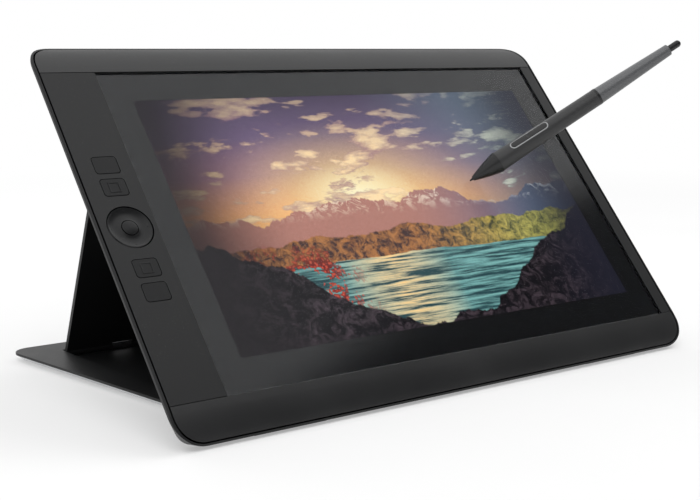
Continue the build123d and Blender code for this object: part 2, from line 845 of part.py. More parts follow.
# Hinge brackets, hinge pins and hook rods, one of each at either side
bracket_z = base_height - bracket_sink - bracket_thickness / 2
hardware = {}
for end, side in (("left", -1), ("right", 1)):
    with BuildPart() as bracket:
        with BuildSketch(upright(side * knuckle_x - knuckle_width / 2)):
            with Locations((hinge_y, hinge_z)):
                Circle(barrel_radius)
            with Locations((hinge_y + bracket_length / 2, bracket_z)):
                Rectangle(bracket_length, bracket_thickness)
            with Locations((hinge_y, hinge_z)):
                Circle(pin_radius + bore_fit, mode=Mode.SUBTRACT)
        extrude(amount=knuckle_width)
    hardware[f"hinge_bracket_{end}"] = bracket.part
    with BuildPart() as pin:
        with BuildSketch(upright(side * knuckle_x - pin_length / 2)):
            with Locations((hinge_y, hinge_z)):
                Circle(pin_radius)
        extrude(amount=pin_length)
    hardware[f"hinge_pin_{end}"] = pin.part
    with BuildPart() as rod:
        with BuildSketch(upright(side * hook_x - pin_length / 2)):
            with Locations((rod_y, rod_z)):
                Circle(rod_radius)
        extrude(amount=pin_length)
    hardware[f"hook_rod_{end}"] = rod.part

# Base: a moulded tray with the recess that takes the folded flap, in a folded metal skin
skin_top = pad_height + skin_thickness
rim_bottom = base_height - base_rim
recess_back = hinge_y + barrel_radius + recess_play
recess_front = hinge_y - flap_length - top_barrel_radius - recess_play
recess_length = recess_back - recess_front
recess_middle = (recess_back + recess_front) / 2
recess_half_width = flap_half_width + recess_play
bracket_y = hinge_y + bracket_length / 2
base_front_width = base_width - 2 * base_depth * taper_tangent


def base_sheet(height: float, inset: float, corner: float) -> Sketch:
    """Outline of the base at a height, narrower toward its front, drawn this far inside its edge."""
    half_depth = base_depth / 2 - inset
    back_half = base_width / 2 - inset / taper_cosine - inset * taper_tangent
    front_half = back_half - 2 * half_depth * taper_tangent
    with BuildSketch(Plane.XY.offset(height)) as outline:
        with BuildLine():
            FilletPolyline(
                (-front_half, -half_depth),
                (front_half, -half_depth),
                (back_half, half_depth),
                (-back_half, half_depth),
                radius=corner,
                close=True,
            )
        make_face()
    return outline.sketch


with BuildPart() as base_tray:
    extrude(base_sheet(rim_bottom, 0, base_corner), amount=base_rim)
    fillet(base_tray.faces().sort_by(Axis.Z)[-1].edges(), radius=edge_break)
    extrude(base_sheet(skin_top, rib_inset, base_corner - rib_inset), amount=rim_bottom - skin_top)
    tray_inside = base_sheet(skin_top, rib_inset + tray_wall, base_corner - rib_inset - tray_wall)
    extrude(tray_inside, amount=rim_bottom - skin_top, mode=Mode.SUBTRACT)
    with BuildSketch(Plane.XY.offset(skin_top)):
        with Locations((0, recess_middle)):
            Rectangle(2 * (recess_half_width + tray_wall), recess_length + 2 * tray_wall)
        with Locations((0, recess_front)):
            SlotOverall(finger_width + 2 * tray_wall, 2 * (finger_depth + tray_wall))
        with Locations((-knuckle_x, bracket_y), (knuckle_x, bracket_y)):
            Rectangle(knuckle_width + 2 * tray_wall, bracket_length + 2 * tray_wall)
    extrude(amount=rim_bottom - skin_top)
    with BuildSketch(Plane.XY.offset(skin_top + tray_floor)):
        with Locations((0, recess_middle)):
            Rectangle(2 * recess_half_width, recess_length)
        with Locations((0, recess_front)):
            SlotOverall(finger_width, 2 * finger_depth)
    extrude(amount=base_height, mode=Mode.SUBTRACT)
    with BuildSketch(Plane.XY.offset(skin_top - overrun)):
        with Locations((0, hinge_y)):
            Rectangle(2 * recess_half_width, 2 * (barrel_radius + recess_play))
        with Locations((0, hinge_y - flap_length)):
            Rectangle(2 * recess_half_width, 2 * (top_barrel_radius + recess_play))
    extrude(amount=tray_floor + overrun, mode=Mode.SUBTRACT)
    with BuildSketch(Plane.XY.offset(base_height - bracket_sink - bracket_thickness)):
        with Locations((-knuckle_x, bracket_y), (knuckle_x, bracket_y)):
            Rectangle(knuckle_width + 2 * seat_fit, bracket_length + 2 * seat_fit)
    extrude(amount=base_rim + bracket_thickness, mode=Mode.SUBTRACT)

inner_rise = (rim_bottom - skin_top) / (rim_bottom - pad_height)
inner_inset = skin_lip + skin_slant_inset * inner_rise + skin_thickness
skin_outside = (
    base_sheet(pad_height, skin_lip + skin_slant_inset, base_corner - skin_slant_inset),
    base_sheet(rim_bottom, skin_lip, base_corner - skin_lip),
)
skin_inside = (
    base_sheet(skin_top, inner_inset, base_corner - skin_slant_inset),
    base_sheet(rim_bottom, skin_lip + skin_thickness, base_corner - skin_lip - skin_thickness),
)
with BuildPart() as base_skin:
    loft(sections=skin_outside, ruled=True)
    loft(sections=skin_inside, ruled=True, mode=Mode.SUBTRACT)

with BuildPart() as base_pads:
    with BuildSketch(Plane.XY):
        with GridLocations(
            base_front_width - 2 * pad_inset - pad_length, base_depth - 2 * pad_inset - pad_width, 2, 2
        ):
            SlotOverall(pad_length, pad_width)
        SlotOverall(pad_length, pad_width)
    extrude(amount=pad_height)

# Pen
pen_profile = Plane(origin=pen_plane.origin, x_dir=pen_plane.x_dir, z_dir=-pen_plane.y_dir)
pen_centre = Axis(pen_plane.origin, pen_plane.z_dir)
switch_length = switch_end - switch_start
switch_middle = (switch_start + switch_end) / 2
switch_plane = Plane(
    origin=pen_plane.from_local_coords(Vector(0, 0, switch_middle)),
    x_dir=pen_plane.z_dir,
    z_dir=pen_plane.x_dir,
)


def grip_body(proud: float) -> Part:
    """Solid of the grip's swelling outside, this far proud of its skin."""
    with BuildPart() as body:
        with BuildSketch(pen_profile):
            with BuildLine():
                swell = Spline(
                    (grip_start_radius + proud, nose_end),
                    (grip_swell_radius + proud, grip_swell),
                    (grip_end_radius + proud, grip_end),
                )
                Polyline(swell @ 1, (0, grip_end), (0, nose_end), swell @ 0)
            make_face()
        revolve(axis=pen_centre)
    return body.part


with BuildPart() as pen_nib:
    with BuildSketch(pen_profile):
        with BuildLine():
            tip = CenterArc((0, nib_tip_radius), nib_tip_radius, start_angle=-90, arc_size=90)
            Polyline(tip @ 1, (nib_radius, nib_taper), (nib_radius, nib_length), (0, nib_length), tip @ 0)
        make_face()
    revolve(axis=pen_centre)

with BuildPart() as pen_nose:
    with BuildSketch(pen_profile):
        with BuildLine():
            cone = ThreePointArc(
                (nose_tip_radius, nose_start),
                (nose_mid_radius, (nose_start + nose_end) / 2),
                (nose_end_radius, nose_end),
            )
            Polyline(
                cone @ 1,
                (nose_end_radius - nose_wall, nose_end),
                (coil_radius + slide_fit, coil_start - slide_fit),
                (nib_radius + nib_fit, coil_start - coil_radius),
                (nib_radius + nib_fit, nose_start),
                cone @ 0,
            )
        make_face()
    revolve(axis=pen_centre)

with BuildPart() as pen_coil:
    with BuildSketch(pen_plane.offset(coil_start)):
        Circle(coil_radius)
        Circle(nib_radius + nib_fit, mode=Mode.SUBTRACT)
    extrude(amount=coil_end - coil_start)

with BuildPart() as pen_core:
    with BuildSketch(pen_plane.offset(core_start)):
        Circle(sensor_radius)
        Circle(nib_radius + nib_fit, mode=Mode.SUBTRACT)
    extrude(amount=nib_length + overrun - core_start)
    with BuildSketch(pen_plane.offset(nib_length + overrun)):
        Circle(sensor_radius)
    extrude(amount=sensor_end - nib_length - overrun)
    with BuildSketch(pen_plane.offset(sensor_end)):
        Rectangle(core_thickness, core_width)
    extrude(amount=core_end - sensor_end)

grip_skin = grip_body(0)
with BuildPart() as pen_grip:
    add(grip_skin)
    with BuildSketch(pen_plane.offset(nose_end)):
        Circle(grip_bore)
    extrude(amount=grip_end - nose_end, mode=Mode.SUBTRACT)
    with BuildSketch(switch_plane.offset(grip_swell_radius - switch_sink)):
        SlotOverall(switch_length, switch_width)
    extrude(amount=grip_swell_radius, mode=Mode.SUBTRACT)
    with BuildSketch(switch_plane.offset(grip_swell_radius - rim_sink)):
        SlotOverall(switch_length + 2 * switch_rim, switch_width + 2 * switch_rim)
    extrude(amount=grip_swell_radius, mode=Mode.SUBTRACT)

rim_skin = grip_body(ring_step)
with BuildPart() as switch_frame:
    add(rim_skin)
    with BuildSketch(switch_plane.offset(grip_swell_radius - rim_sink)):
        SlotOverall(switch_length + 2 * (switch_rim - seat_fit), switch_width + 2 * (switch_rim - seat_fit))
        SlotOverall(switch_length, switch_width, mode=Mode.SUBTRACT)
    extrude(amount=grip_swell_radius, mode=Mode.INTERSECT)

switch_skin = grip_body(switch_proud)
with BuildPart() as pen_switch:
    add(switch_skin)
    with BuildSketch(switch_plane.offset(grip_swell_radius - switch_sink + switch_proud)):
        SlotOverall(switch_length - 2 * switch_fit, switch_width - 2 * switch_fit)
    extrude(amount=grip_swell_radius, mode=Mode.INTERSECT)
    with BuildSketch(Plane(switch_plane.origin, x_dir=switch_plane.x_dir, z_dir=switch_plane.y_dir)):
        with Locations((0, -grip_swell_radius - switch_width)):
            Circle(switch_width)
    extrude(amount=switch_width, both=True, mode=Mode.SUBTRACT)

with BuildPart() as pen_band:
    with BuildSketch(pen_plane.offset(grip_end)):
        Circle(grip_end_radius + ring_step)
        Circle(barrel_bore, mode=Mode.SUBTRACT)
    extrude(amount=ring_width)

with BuildPart() as pen_barrel:
    with BuildSketch(pen_profile):
        with BuildLine():
            Polyline(
                (barrel_bore, grip_end + ring_width),
                (barrel_radius_low, grip_end + ring_width),
                (barrel_end_radius, barrel_end),
                (eraser_stem_radius + nib_fit, barrel_end),
                (eraser_stem_radius + nib_fit, core_end + layer_gap),
                (barrel_bore, core_end + layer_gap),
                (barrel_bore, grip_end + ring_width),
            )
        make_face()
    revolve(axis=pen_centre)

with BuildPart() as pen_eraser:
    with BuildSketch(pen_profile):
        with BuildLine():
            cap = CenterArc((0, eraser_end - eraser_radius), eraser_radius, start_angle=0, arc_size=90)
            Polyline(
                cap @ 1,
                (0, core_end + eraser_play),
                (eraser_stem_radius, core_end + eraser_play),
                (eraser_stem_radius, barrel_end + eraser_play),
                (eraser_radius, barrel_end + eraser_play),
                cap @ 0,
            )
        make_face()
    revolve(axis=pen_centre)

os.makedirs("parts", exist_ok=True)
for name, piece in (
    ("rear_cover", rear_cover),
    ("back_feet", back_feet),
    ("case_screws", case_screws),
    ("control_strip", control_strip),
    ("right_strip", right_strip),
    ("cover_glass", cover_glass),
    ("lcd_panel", lcd_panel),
    ("backlight", backlight),
    ("digitizer_board", digitizer_board),
    ("shield_plate", shield_plate),
    ("mid_frame", mid_frame),
    ("main_board", main_board),
    ("key_board", key_board),
    ("rocker_ring", rocker_ring),
    ("rocker_carrier", rocker_carrier),
    ("home_button", home_button),
    ("power_button", power_button),
    ("cable_socket", cable_socket),
    ("support_flap", support_flap),
    ("base_tray", base_tray),
    ("base_skin", base_skin),
    ("base_pads", base_pads),
    ("pen_nib", pen_nib),
    ("pen_nose", pen_nose),
    ("pen_coil", pen_coil),
    ("pen_core", pen_core),
    ("pen_grip", pen_grip),
    ("switch_frame", switch_frame),
    ("pen_switch", pen_switch),
    ("pen_band", pen_band),
    ("pen_barrel", pen_barrel),
    ("pen_eraser", pen_eraser),
):
    piece.part.label = name
    export_step(piece.part, f"parts/{name}.step")
for group in (feet, bands, keys, hooks, hardware):
    for name, solid in group.items():
        solid.label = name
        export_step(solid, f"parts/{name}.step")
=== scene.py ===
"""Looks of a graphics tablet with a screen, its folding stand and its pen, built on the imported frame.

Everything is in metres, in the frame's own axes: X to the right, Y to the back and Z up, with the
origin in the middle of the stand's footprint. Positions on the tablet are also given along the
glass: x to the right, up along the screen, and out of it.
"""

import logging
import math
from dataclasses import dataclass, field
from enum import Enum
from functools import partial, reduce
from typing import Mapping, Sequence

import bmesh
import bpy
from mathutils import Matrix, Vector


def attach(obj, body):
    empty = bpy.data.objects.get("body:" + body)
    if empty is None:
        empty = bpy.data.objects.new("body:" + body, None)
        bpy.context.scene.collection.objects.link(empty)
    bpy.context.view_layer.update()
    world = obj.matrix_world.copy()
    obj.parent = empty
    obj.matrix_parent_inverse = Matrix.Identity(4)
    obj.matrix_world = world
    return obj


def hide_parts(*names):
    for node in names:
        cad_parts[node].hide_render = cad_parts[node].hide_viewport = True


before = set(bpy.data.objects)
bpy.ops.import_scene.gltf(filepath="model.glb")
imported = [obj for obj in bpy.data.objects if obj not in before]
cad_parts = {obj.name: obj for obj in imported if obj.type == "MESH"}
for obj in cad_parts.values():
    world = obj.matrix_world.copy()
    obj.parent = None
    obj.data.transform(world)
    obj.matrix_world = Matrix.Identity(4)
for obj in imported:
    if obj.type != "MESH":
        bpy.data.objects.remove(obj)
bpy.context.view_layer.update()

MM = 0.001
SMOOTH_ANGLE = math.radians(35.0)
LOG = logging.getLogger("tablet")

Colour = tuple[float, float, float]
Point = tuple[float, float, float]
Line = Sequence[tuple[float, float]]
Node = bpy.types.Node
Socket = bpy.types.NodeSocket
Input = Socket | float | Colour
TURNED_OVER = Matrix.Rotation(math.pi, 4, "X")


# ---------------------------------------------------------------- places


@dataclass(frozen=True)
class GlassAxes:
    """The tablet's own axes: x to the right, up along the screen and out of the glass.

    Attributes:
        tilt: Slope of the glass in degrees.
        middle: Middle of the tablet's face in the frame.
    """

    tilt: float = 50.0
    middle: Point = (0.0, -0.0575797, 0.0998679)

    def matrix(self, x: float = 0.0, up: float = 0.0, out: float = 0.0) -> Matrix:
        """Axes in millimetres with their origin at a point of the tablet.

        Args:
            x: Millimetres to the right of the middle.
            up: Millimetres up along the screen.
            out: Millimetres out of the glass.

        Returns:
            A matrix that takes millimetres along the glass to the frame's metres.
        """
        slope = Matrix.Rotation(math.radians(self.tilt), 4, "X")
        face = Matrix.Translation(self.middle) @ slope @ Matrix.Scale(MM, 4)
        return face @ Matrix.Translation((x, up, out))


GLASS = GlassAxes()


def level_axes(x: float, y: float, z: float) -> Matrix:
    """Level axes in millimetres, with their origin at a point of the stand in millimetres."""
    return Matrix.Scale(MM, 4) @ Matrix.Translation((x, y, z))


class Body(Enum):
    """Moving bodies that the added pieces ride on."""

    DISPLAY = "display"
    STAND = "stand"
    RING = "ring"


# ---------------------------------------------------------------- shader helpers


class Graph:
    """Helper that adds and joins the nodes of one node tree."""

    def __init__(self, tree: bpy.types.NodeTree) -> None:
        """Keeps the tree of a material, a world or a group."""
        self.tree = tree

    def add(self, kind: str, settings: dict | None = None, **inputs: Input) -> Node:
        """Adds one node.

        Args:
            kind: Name of the node's type, without its common first part.
            settings: Properties of the node.
            **inputs: Values or sockets for the node's inputs, by name with _ for a space.

        Returns:
            The new node.
        """
        node = self.tree.nodes.new("ShaderNode" + kind)
        for key, value in (settings or {}).items():
            setattr(node, key, value)
        self.join(node, **inputs)
        return node

    def join(self, node: Node, **inputs: Input) -> None:
        """Feeds inputs of a node, by name with _ for a space."""
        for key, value in inputs.items():
            self.feed(node.inputs[key.replace("_", " ")], value)

    def feed(self, socket: Socket, value: Input) -> None:
        """Links a socket to an input, or sets its value.

        Args:
            socket: The input.
            value: A socket, a number, a colour or a vector.
        """
        if isinstance(value, Socket):
            self.tree.links.new(value, socket)
        elif isinstance(value, tuple) and socket.type == "RGBA":
            socket.default_value = (*value, 1.0)
        else:
            socket.default_value = value

    def fill(self, kind: str, settings: dict, *values: Input) -> Node:
        """Adds one node and feeds its inputs in their order.

        Args:
            kind: Name of the node's type, without its common first part.
            settings: Properties of the node.
            *values: Values or sockets for its first inputs.

        Returns:
            The new node.
        """
        node = self.add(kind, settings)
        for socket, value in zip(node.inputs, values):
            self.feed(socket, value)
        return node

    def math(self, operation: str, *values: Input, clamp: bool = False) -> Socket:
        """Result of one sum on numbers, kept between 0 and 1 if clamped."""
        return self.fill("Math", {"operation": operation, "use_clamp": clamp}, *values).outputs[0]

    def times(self, *values: Input) -> Socket:
        """Product of several numbers, taken in turn."""
        return reduce(partial(self.math, "MULTIPLY"), values)

    def vector(self, operation: str, *values: Input, output: str = "Vector") -> Socket:
        """Result of one sum on vectors, or its number if the output is Value."""
        return self.fill("VectorMath", {"operation": operation}, *values).outputs[output]

    def between(self, value: Input, low: float, high: float, first: float = 0.0, last: float = 1.0,
                smooth: bool = False) -> Socket:
        """Maps low to first and high to last, and stops at both ends, softly if smooth."""
        settings = {"interpolation_type": "SMOOTHSTEP" if smooth else "LINEAR", "clamp": True}
        return self.fill("MapRange", settings, value, low, high, first, last).outputs[0]

    def mix(self, factor: Input, first: Input, second: Input, blend: str = "MIX") -> Socket:
        """Mixes two colours.

        Args:
            factor: Share of the second colour.
            first: First colour or socket.
            second: Second colour or socket.
            blend: Way of mixing.

        Returns:
            The mixed colour.
        """
        node = self.add("Mix", {"data_type": "RGBA", "blend_type": blend})
        for index, value in ((0, factor), (6, first), (7, second)):
            self.feed(node.inputs[index], value)
        return node.outputs[2]

    def grey(self, value: Input) -> Socket:
        """Grey of a brightness."""
        return self.add("CombineColor", None, Red=value, Green=value, Blue=value).outputs[0]

    def where(self, kind: str = "Object") -> Socket:
        """Coordinates of one kind."""
        return self.add("TexCoord").outputs[kind]

    def noise(self, place: Socket, scale: Input, detail: float = 4.0, roughness: float = 0.55,
              distortion: float = 0.0) -> Socket:
        """Soft random values, with finer layers of a weight and a swirl."""
        return self.add("TexNoise", None, Vector=place, Scale=scale, Detail=detail, Roughness=roughness,
                        Distortion=distortion).outputs[0]

    def cells(self, place: Socket, scale: Input, **inputs: float) -> Socket:
        """Distance to the nearest of many random points, softened if more inputs are given."""
        kind = {"feature": "SMOOTH_F1" if inputs else "F1"}
        return self.add("TexVoronoi", kind, Vector=place, Scale=scale, **inputs).outputs[0]

    def ramp(self, factor: Input, stops: Sequence[tuple[float, Colour]]) -> Socket:
        """Colour that runs through several stops.

        Args:
            factor: Number from 0 to 1.
            stops: Positions and colours.

        Returns:
            The colour.
        """
        node = self.add("ValToRGB", None, Fac=factor)
        band = node.color_ramp
        band.elements[0].position, band.elements[0].color = stops[0][0], (*stops[0][1], 1.0)
        band.elements[1].position, band.elements[1].color = stops[-1][0], (*stops[-1][1], 1.0)
        for position, colour in stops[1:-1]:
            band.elements.new(position).color = (*colour, 1.0)
        return node.outputs[0]


class Effect(Enum):
    """Shared effects, each a node group that is built once."""

    GRAIN = "moulded_grain"
    WEAR = "edge_wear"
    DUST = "fine_dust"
    BRUSH = "brushed_lines"


class Effects:
    """Builds and keeps the shared node groups."""

    def __init__(self) -> None:
        """Builds every group."""
        self.groups: dict[Effect, bpy.types.NodeTree] = {}
        for build in (self.grain, self.wear, self.dust, self.brush):
            build()

    def group(self, effect: Effect, inputs: dict[str, float], *outputs: str) -> tuple[Graph, Mapping, Node]:
        """Starts a group with named number sockets.

        Args:
            effect: Which effect the group holds.
            inputs: Names and first values of its inputs.
            *outputs: Names of its outputs.

        Returns:
            The group's graph, its inputs by name and the node that takes its outputs.
        """
        tree = self.groups[effect] = bpy.data.node_groups.new(effect.value, "ShaderNodeTree")
        for name, value in inputs.items():
            socket = tree.interface.new_socket(name, in_out="INPUT", socket_type="NodeSocketFloat")
            socket.default_value = value
        for name in outputs:
            tree.interface.new_socket(name, in_out="OUTPUT", socket_type="NodeSocketFloat")
        given = tree.nodes.new("NodeGroupInput").outputs
        return Graph(tree), given, tree.nodes.new("NodeGroupOutput")

    def grain(self) -> None:
        """Fine pebbled grain of moulded plastic and rubber, with broad cloudy patches."""
        graph, given, result = self.group(Effect.GRAIN, {"Grain Size": 0.5}, "Height", "Patches", "Speckle")
        place = graph.where()
        scale = graph.math("DIVIDE", 1.0 / MM, given["Grain Size"])
        pebbles = graph.cells(place, scale, Smoothness=0.6)
        fine = graph.noise(place, scale, 3.0, 0.5)
        graph.join(result, Height=graph.math("MULTIPLY_ADD", pebbles, 0.7, graph.times(fine, 0.5)),
                   Patches=graph.noise(place, 14.0, 5.0, 0.6, 0.4), Speckle=graph.between(fine, 0.35, 0.65))

    def wear(self) -> None:
        """Mask of edges that hands and desks have rubbed."""
        graph, given, result = self.group(Effect.WEAR, {"Width": 0.4, "Amount": 1.0}, "Mask")
        rounded_off = graph.add("Bevel", {"samples": 6}, Radius=graph.times(given["Width"], MM)).outputs[0]
        normal = graph.add("NewGeometry").outputs["Normal"]
        edge = graph.between(graph.vector("DOT_PRODUCT", rounded_off, normal, output="Value"), 0.995, 0.80)
        broken = graph.between(graph.noise(graph.where(), 160.0, 5.0, 0.65), 0.42, 0.62)
        graph.join(result, Mask=graph.times(edge, broken, given["Amount"]))

    def dust(self) -> None:
        """Mask of fine dust that settles on what faces up."""
        graph, given, result = self.group(Effect.DUST, {"Amount": 0.3}, "Mask")
        normal = graph.add("NewGeometry").outputs["Normal"]
        level = graph.between(graph.add("SeparateXYZ", None, Vector=normal).outputs["Z"], 0.2, 0.9)
        place = graph.where()
        motes = graph.between(graph.noise(place, 900.0, 2.0, 0.7), 0.62, 0.78)
        cloud = graph.between(graph.noise(place, 30.0, 4.0, 0.6), 0.35, 0.75)
        graph.join(result, Mask=graph.times(motes, cloud, level, given["Amount"]))

    def brush(self) -> None:
        """Fine parallel lines of rolled and brushed metal, along X."""
        sizes = {"Line Width": 0.15, "Length": 40.0}
        graph, given, result = self.group(Effect.BRUSH, sizes, "Height", "Streaks")
        across = graph.math("DIVIDE", 1.0 / MM, given["Line Width"])
        along = graph.math("DIVIDE", across, given["Length"])
        scale = graph.add("CombineXYZ", None, X=along, Y=across, Z=across).outputs[0]
        lines = graph.noise(graph.vector("MULTIPLY", graph.where(), scale), 1.0, 3.0, 0.7)
        graph.join(result, Height=lines, Streaks=graph.between(lines, 0.3, 0.7))


EFFECTS = Effects()


class Surface(Graph):
    """Graph of a material with its main shader."""

    def effect(self, effect: Effect, **values: float) -> Mapping[str, Socket]:
        """Outputs of a shared effect, whose inputs are given by name with _ for a space."""
        return self.add("Group", {"node_tree": EFFECTS.groups[effect]}, **values).outputs

    def coat(self, **inputs: Input) -> None:
        """Feeds inputs of the main shader, by name with _ for a space."""
        self.join(self.tree.nodes["Principled BSDF"], **inputs)

    def emboss(self, height: Socket, depth: float, strength: float) -> None:
        """Bumps the surface by a depth in millimetres, of which a share shows."""
        bump = self.add("Bump", None, Strength=strength, Distance=depth * MM, Height=height)
        self.coat(Normal=bump.outputs[0])


# ---------------------------------------------------------------- finishes


@dataclass(frozen=True)
class Coat:
    """Finish that becomes one material.

    Attributes:
        name: Name of the finish.
    """

    name: str

    def paint(self, graph: Surface) -> None:
        """Joins the nodes of the finish in the graph of its material."""
        raise NotImplementedError

    def build(self) -> bpy.types.Material:
        """Makes the material.

        Returns:
            The new material.
        """
        material = bpy.data.materials.new(self.name)
        material.use_nodes = True
        self.paint(Surface(material.node_tree))
        return material


@dataclass(frozen=True)
class MouldedPlastic(Coat):
    """Plastic with a moulded grain, a little polish on its edges and fine dust.

    Attributes:
        colour: Its colour.
        worn: Colour of its rubbed edges.
        roughness: How matt it is.
        grain: Size of a pebble of its grain, in millimetres.
        depth: Depth of the grain, in millimetres.
        wear: Amount of wear along the edges.
        dust: Amount of dust.
        specular: Strength of its plain reflection.
        mottle: How much lighter its lighter patches are.
    """

    colour: Colour
    worn: Colour
    roughness: float
    grain: float = 0.45
    depth: float = 0.010
    wear: float = 0.5
    dust: float = 0.25
    specular: float = 0.5
    mottle: float = 0.25

    def paint(self, graph: Surface) -> None:
        """Joins the nodes of the finish.

        Args:
            graph: Graph of the material.
        """
        grain = graph.effect(Effect.GRAIN, Grain_Size=self.grain)
        wear = graph.effect(Effect.WEAR, Amount=self.wear)["Mask"]
        dust = graph.effect(Effect.DUST, Amount=self.dust)["Mask"]
        lighter = tuple((1.0 + self.mottle) * c for c in self.colour)
        base = graph.mix(graph.between(grain["Patches"], 0.35, 0.65), self.colour, lighter)
        base = graph.mix(dust, graph.mix(wear, base, self.worn), (0.30, 0.29, 0.28))
        rough = graph.between(grain["Patches"], 0.3, 0.7, self.roughness - 0.04, self.roughness + 0.05)
        rough = graph.math("MULTIPLY_ADD", grain["Speckle"], 0.05, rough)
        rough = graph.math("SUBTRACT", rough, graph.times(wear, 0.12), clamp=True)
        graph.coat(Base_Color=base, Roughness=rough, Specular_IOR_Level=self.specular)
        graph.emboss(grain["Height"], self.depth, 0.35)


@dataclass(frozen=True)
class SoftRubber(Coat):
    """Rubber with a soft bloom and a fine grain.

    Attributes:
        colour: Its colour.
        bloom: Colour where it is rubbed pale.
        roughness: How matt it is.
        grain: Size of its grain, in millimetres.
        sheen: Strength of its velvety sheen.
    """

    colour: Colour
    bloom: Colour
    roughness: float = 0.6
    grain: float = 0.25
    sheen: float = 0.15

    def paint(self, graph: Surface) -> None:
        """Joins the nodes of the finish.

        Args:
            graph: Graph of the material.
        """
        grain = graph.effect(Effect.GRAIN, Grain_Size=self.grain)
        wear = graph.effect(Effect.WEAR, Amount=0.6, Width=0.3)["Mask"]
        dust = graph.effect(Effect.DUST, Amount=0.35)["Mask"]
        base = graph.mix(graph.between(grain["Patches"], 0.45, 0.75, 0.0, 0.5), self.colour, self.bloom)
        base = graph.mix(dust, graph.mix(wear, base, self.bloom), (0.32, 0.31, 0.30))
        rough = graph.between(grain["Patches"], 0.3, 0.7, self.roughness + 0.06, self.roughness - 0.06)
        graph.coat(Base_Color=base, Roughness=rough, Sheen_Weight=self.sheen, Sheen_Roughness=0.4)
        graph.emboss(grain["Height"], 0.008, 0.3)


@dataclass(frozen=True)
class SheetMetal(Coat):
    """Rolled, plated or die-cast metal with fine lines and dull patches.

    Attributes:
        colour: Its colour.
        dull: Colour of its duller patches.
        roughness: How satin it is.
        line: Width of its fine lines, in millimetres.
        stretch: Length of a line over its width.
    """

    colour: Colour
    dull: Colour
    roughness: float
    line: float = 0.12
    stretch: float = 40.0

    def paint(self, graph: Surface) -> None:
        """Joins the nodes of the finish.

        Args:
            graph: Graph of the material.
        """
        lines = graph.effect(Effect.BRUSH, Line_Width=self.line, Length=self.stretch)
        grain = graph.effect(Effect.GRAIN, Grain_Size=0.8)
        wear = graph.effect(Effect.WEAR, Amount=0.7, Width=0.25)["Mask"]
        patches = graph.between(grain["Patches"], 0.4, 0.7)
        base = graph.mix(patches, self.colour, self.dull)
        base = graph.mix(graph.times(lines["Streaks"], 0.25), base, self.dull)
        rough = graph.math("MULTIPLY_ADD", lines["Streaks"], 0.12, self.roughness - 0.04)
        rough = graph.math("MULTIPLY_ADD", patches, 0.08, rough)
        graph.coat(Base_Color=graph.mix(wear, base, (0.86, 0.86, 0.86)), Roughness=rough, Metallic=1.0)
        graph.emboss(lines["Height"], 0.006, 0.2)


@dataclass(frozen=True)
class EtchedGlass(Coat):
    """Cover glass with a finely etched, glare-reducing face and faint finger smears.

    Attributes:
        tint: Colour of the light that it lets through.
        roughness: How much its etched face blurs.
        index: Refractive index, set low to stand in for a glare-reducing coat.
    """

    name: str = "etched_glass"
    tint: Colour = (0.97, 0.975, 0.98)
    roughness: float = 0.04
    index: float = 1.04

    def paint(self, graph: Surface) -> None:
        """Joins the nodes of the finish.

        Args:
            graph: Graph of the material.
        """
        place = graph.where()
        smear = graph.between(graph.noise(place, 22.0, 6.0, 0.7, 1.5), 0.5, 0.75)
        etch = graph.noise(place, 9000.0, 2.0, 0.5)
        rough = graph.math("MULTIPLY_ADD", smear, 0.02, self.roughness)
        rough = graph.math("MULTIPLY_ADD", etch, 0.01, rough)
        graph.coat(Base_Color=self.tint, Roughness=rough, Transmission_Weight=1.0, IOR=self.index)
        graph.emboss(etch, 0.0005, 0.004)


@dataclass(frozen=True)
class PrintedBlack(Coat):
    """Glossy black print on the back of the glass, with a faint bluish cast.

    Attributes:
        colour: Its colour.
        specular: Strength of its plain reflection.
    """

    name: str = "printed_black"
    colour: Colour = (0.0028, 0.0033, 0.0045)
    specular: float = 0.60

    def paint(self, graph: Surface) -> None:
        """Joins the nodes of the finish.

        Args:
            graph: Graph of the material.
        """
        grain = graph.effect(Effect.GRAIN, Grain_Size=0.3)
        paler = tuple(1.8 * c for c in self.colour)
        rough = graph.between(grain["Speckle"], 0.0, 1.0, 0.08, 0.12)
        graph.coat(Base_Color=graph.mix(grain["Patches"], self.colour, paler), Roughness=rough,
                   Specular_IOR_Level=self.specular)
        graph.emboss(grain["Height"], 0.001, 0.02)


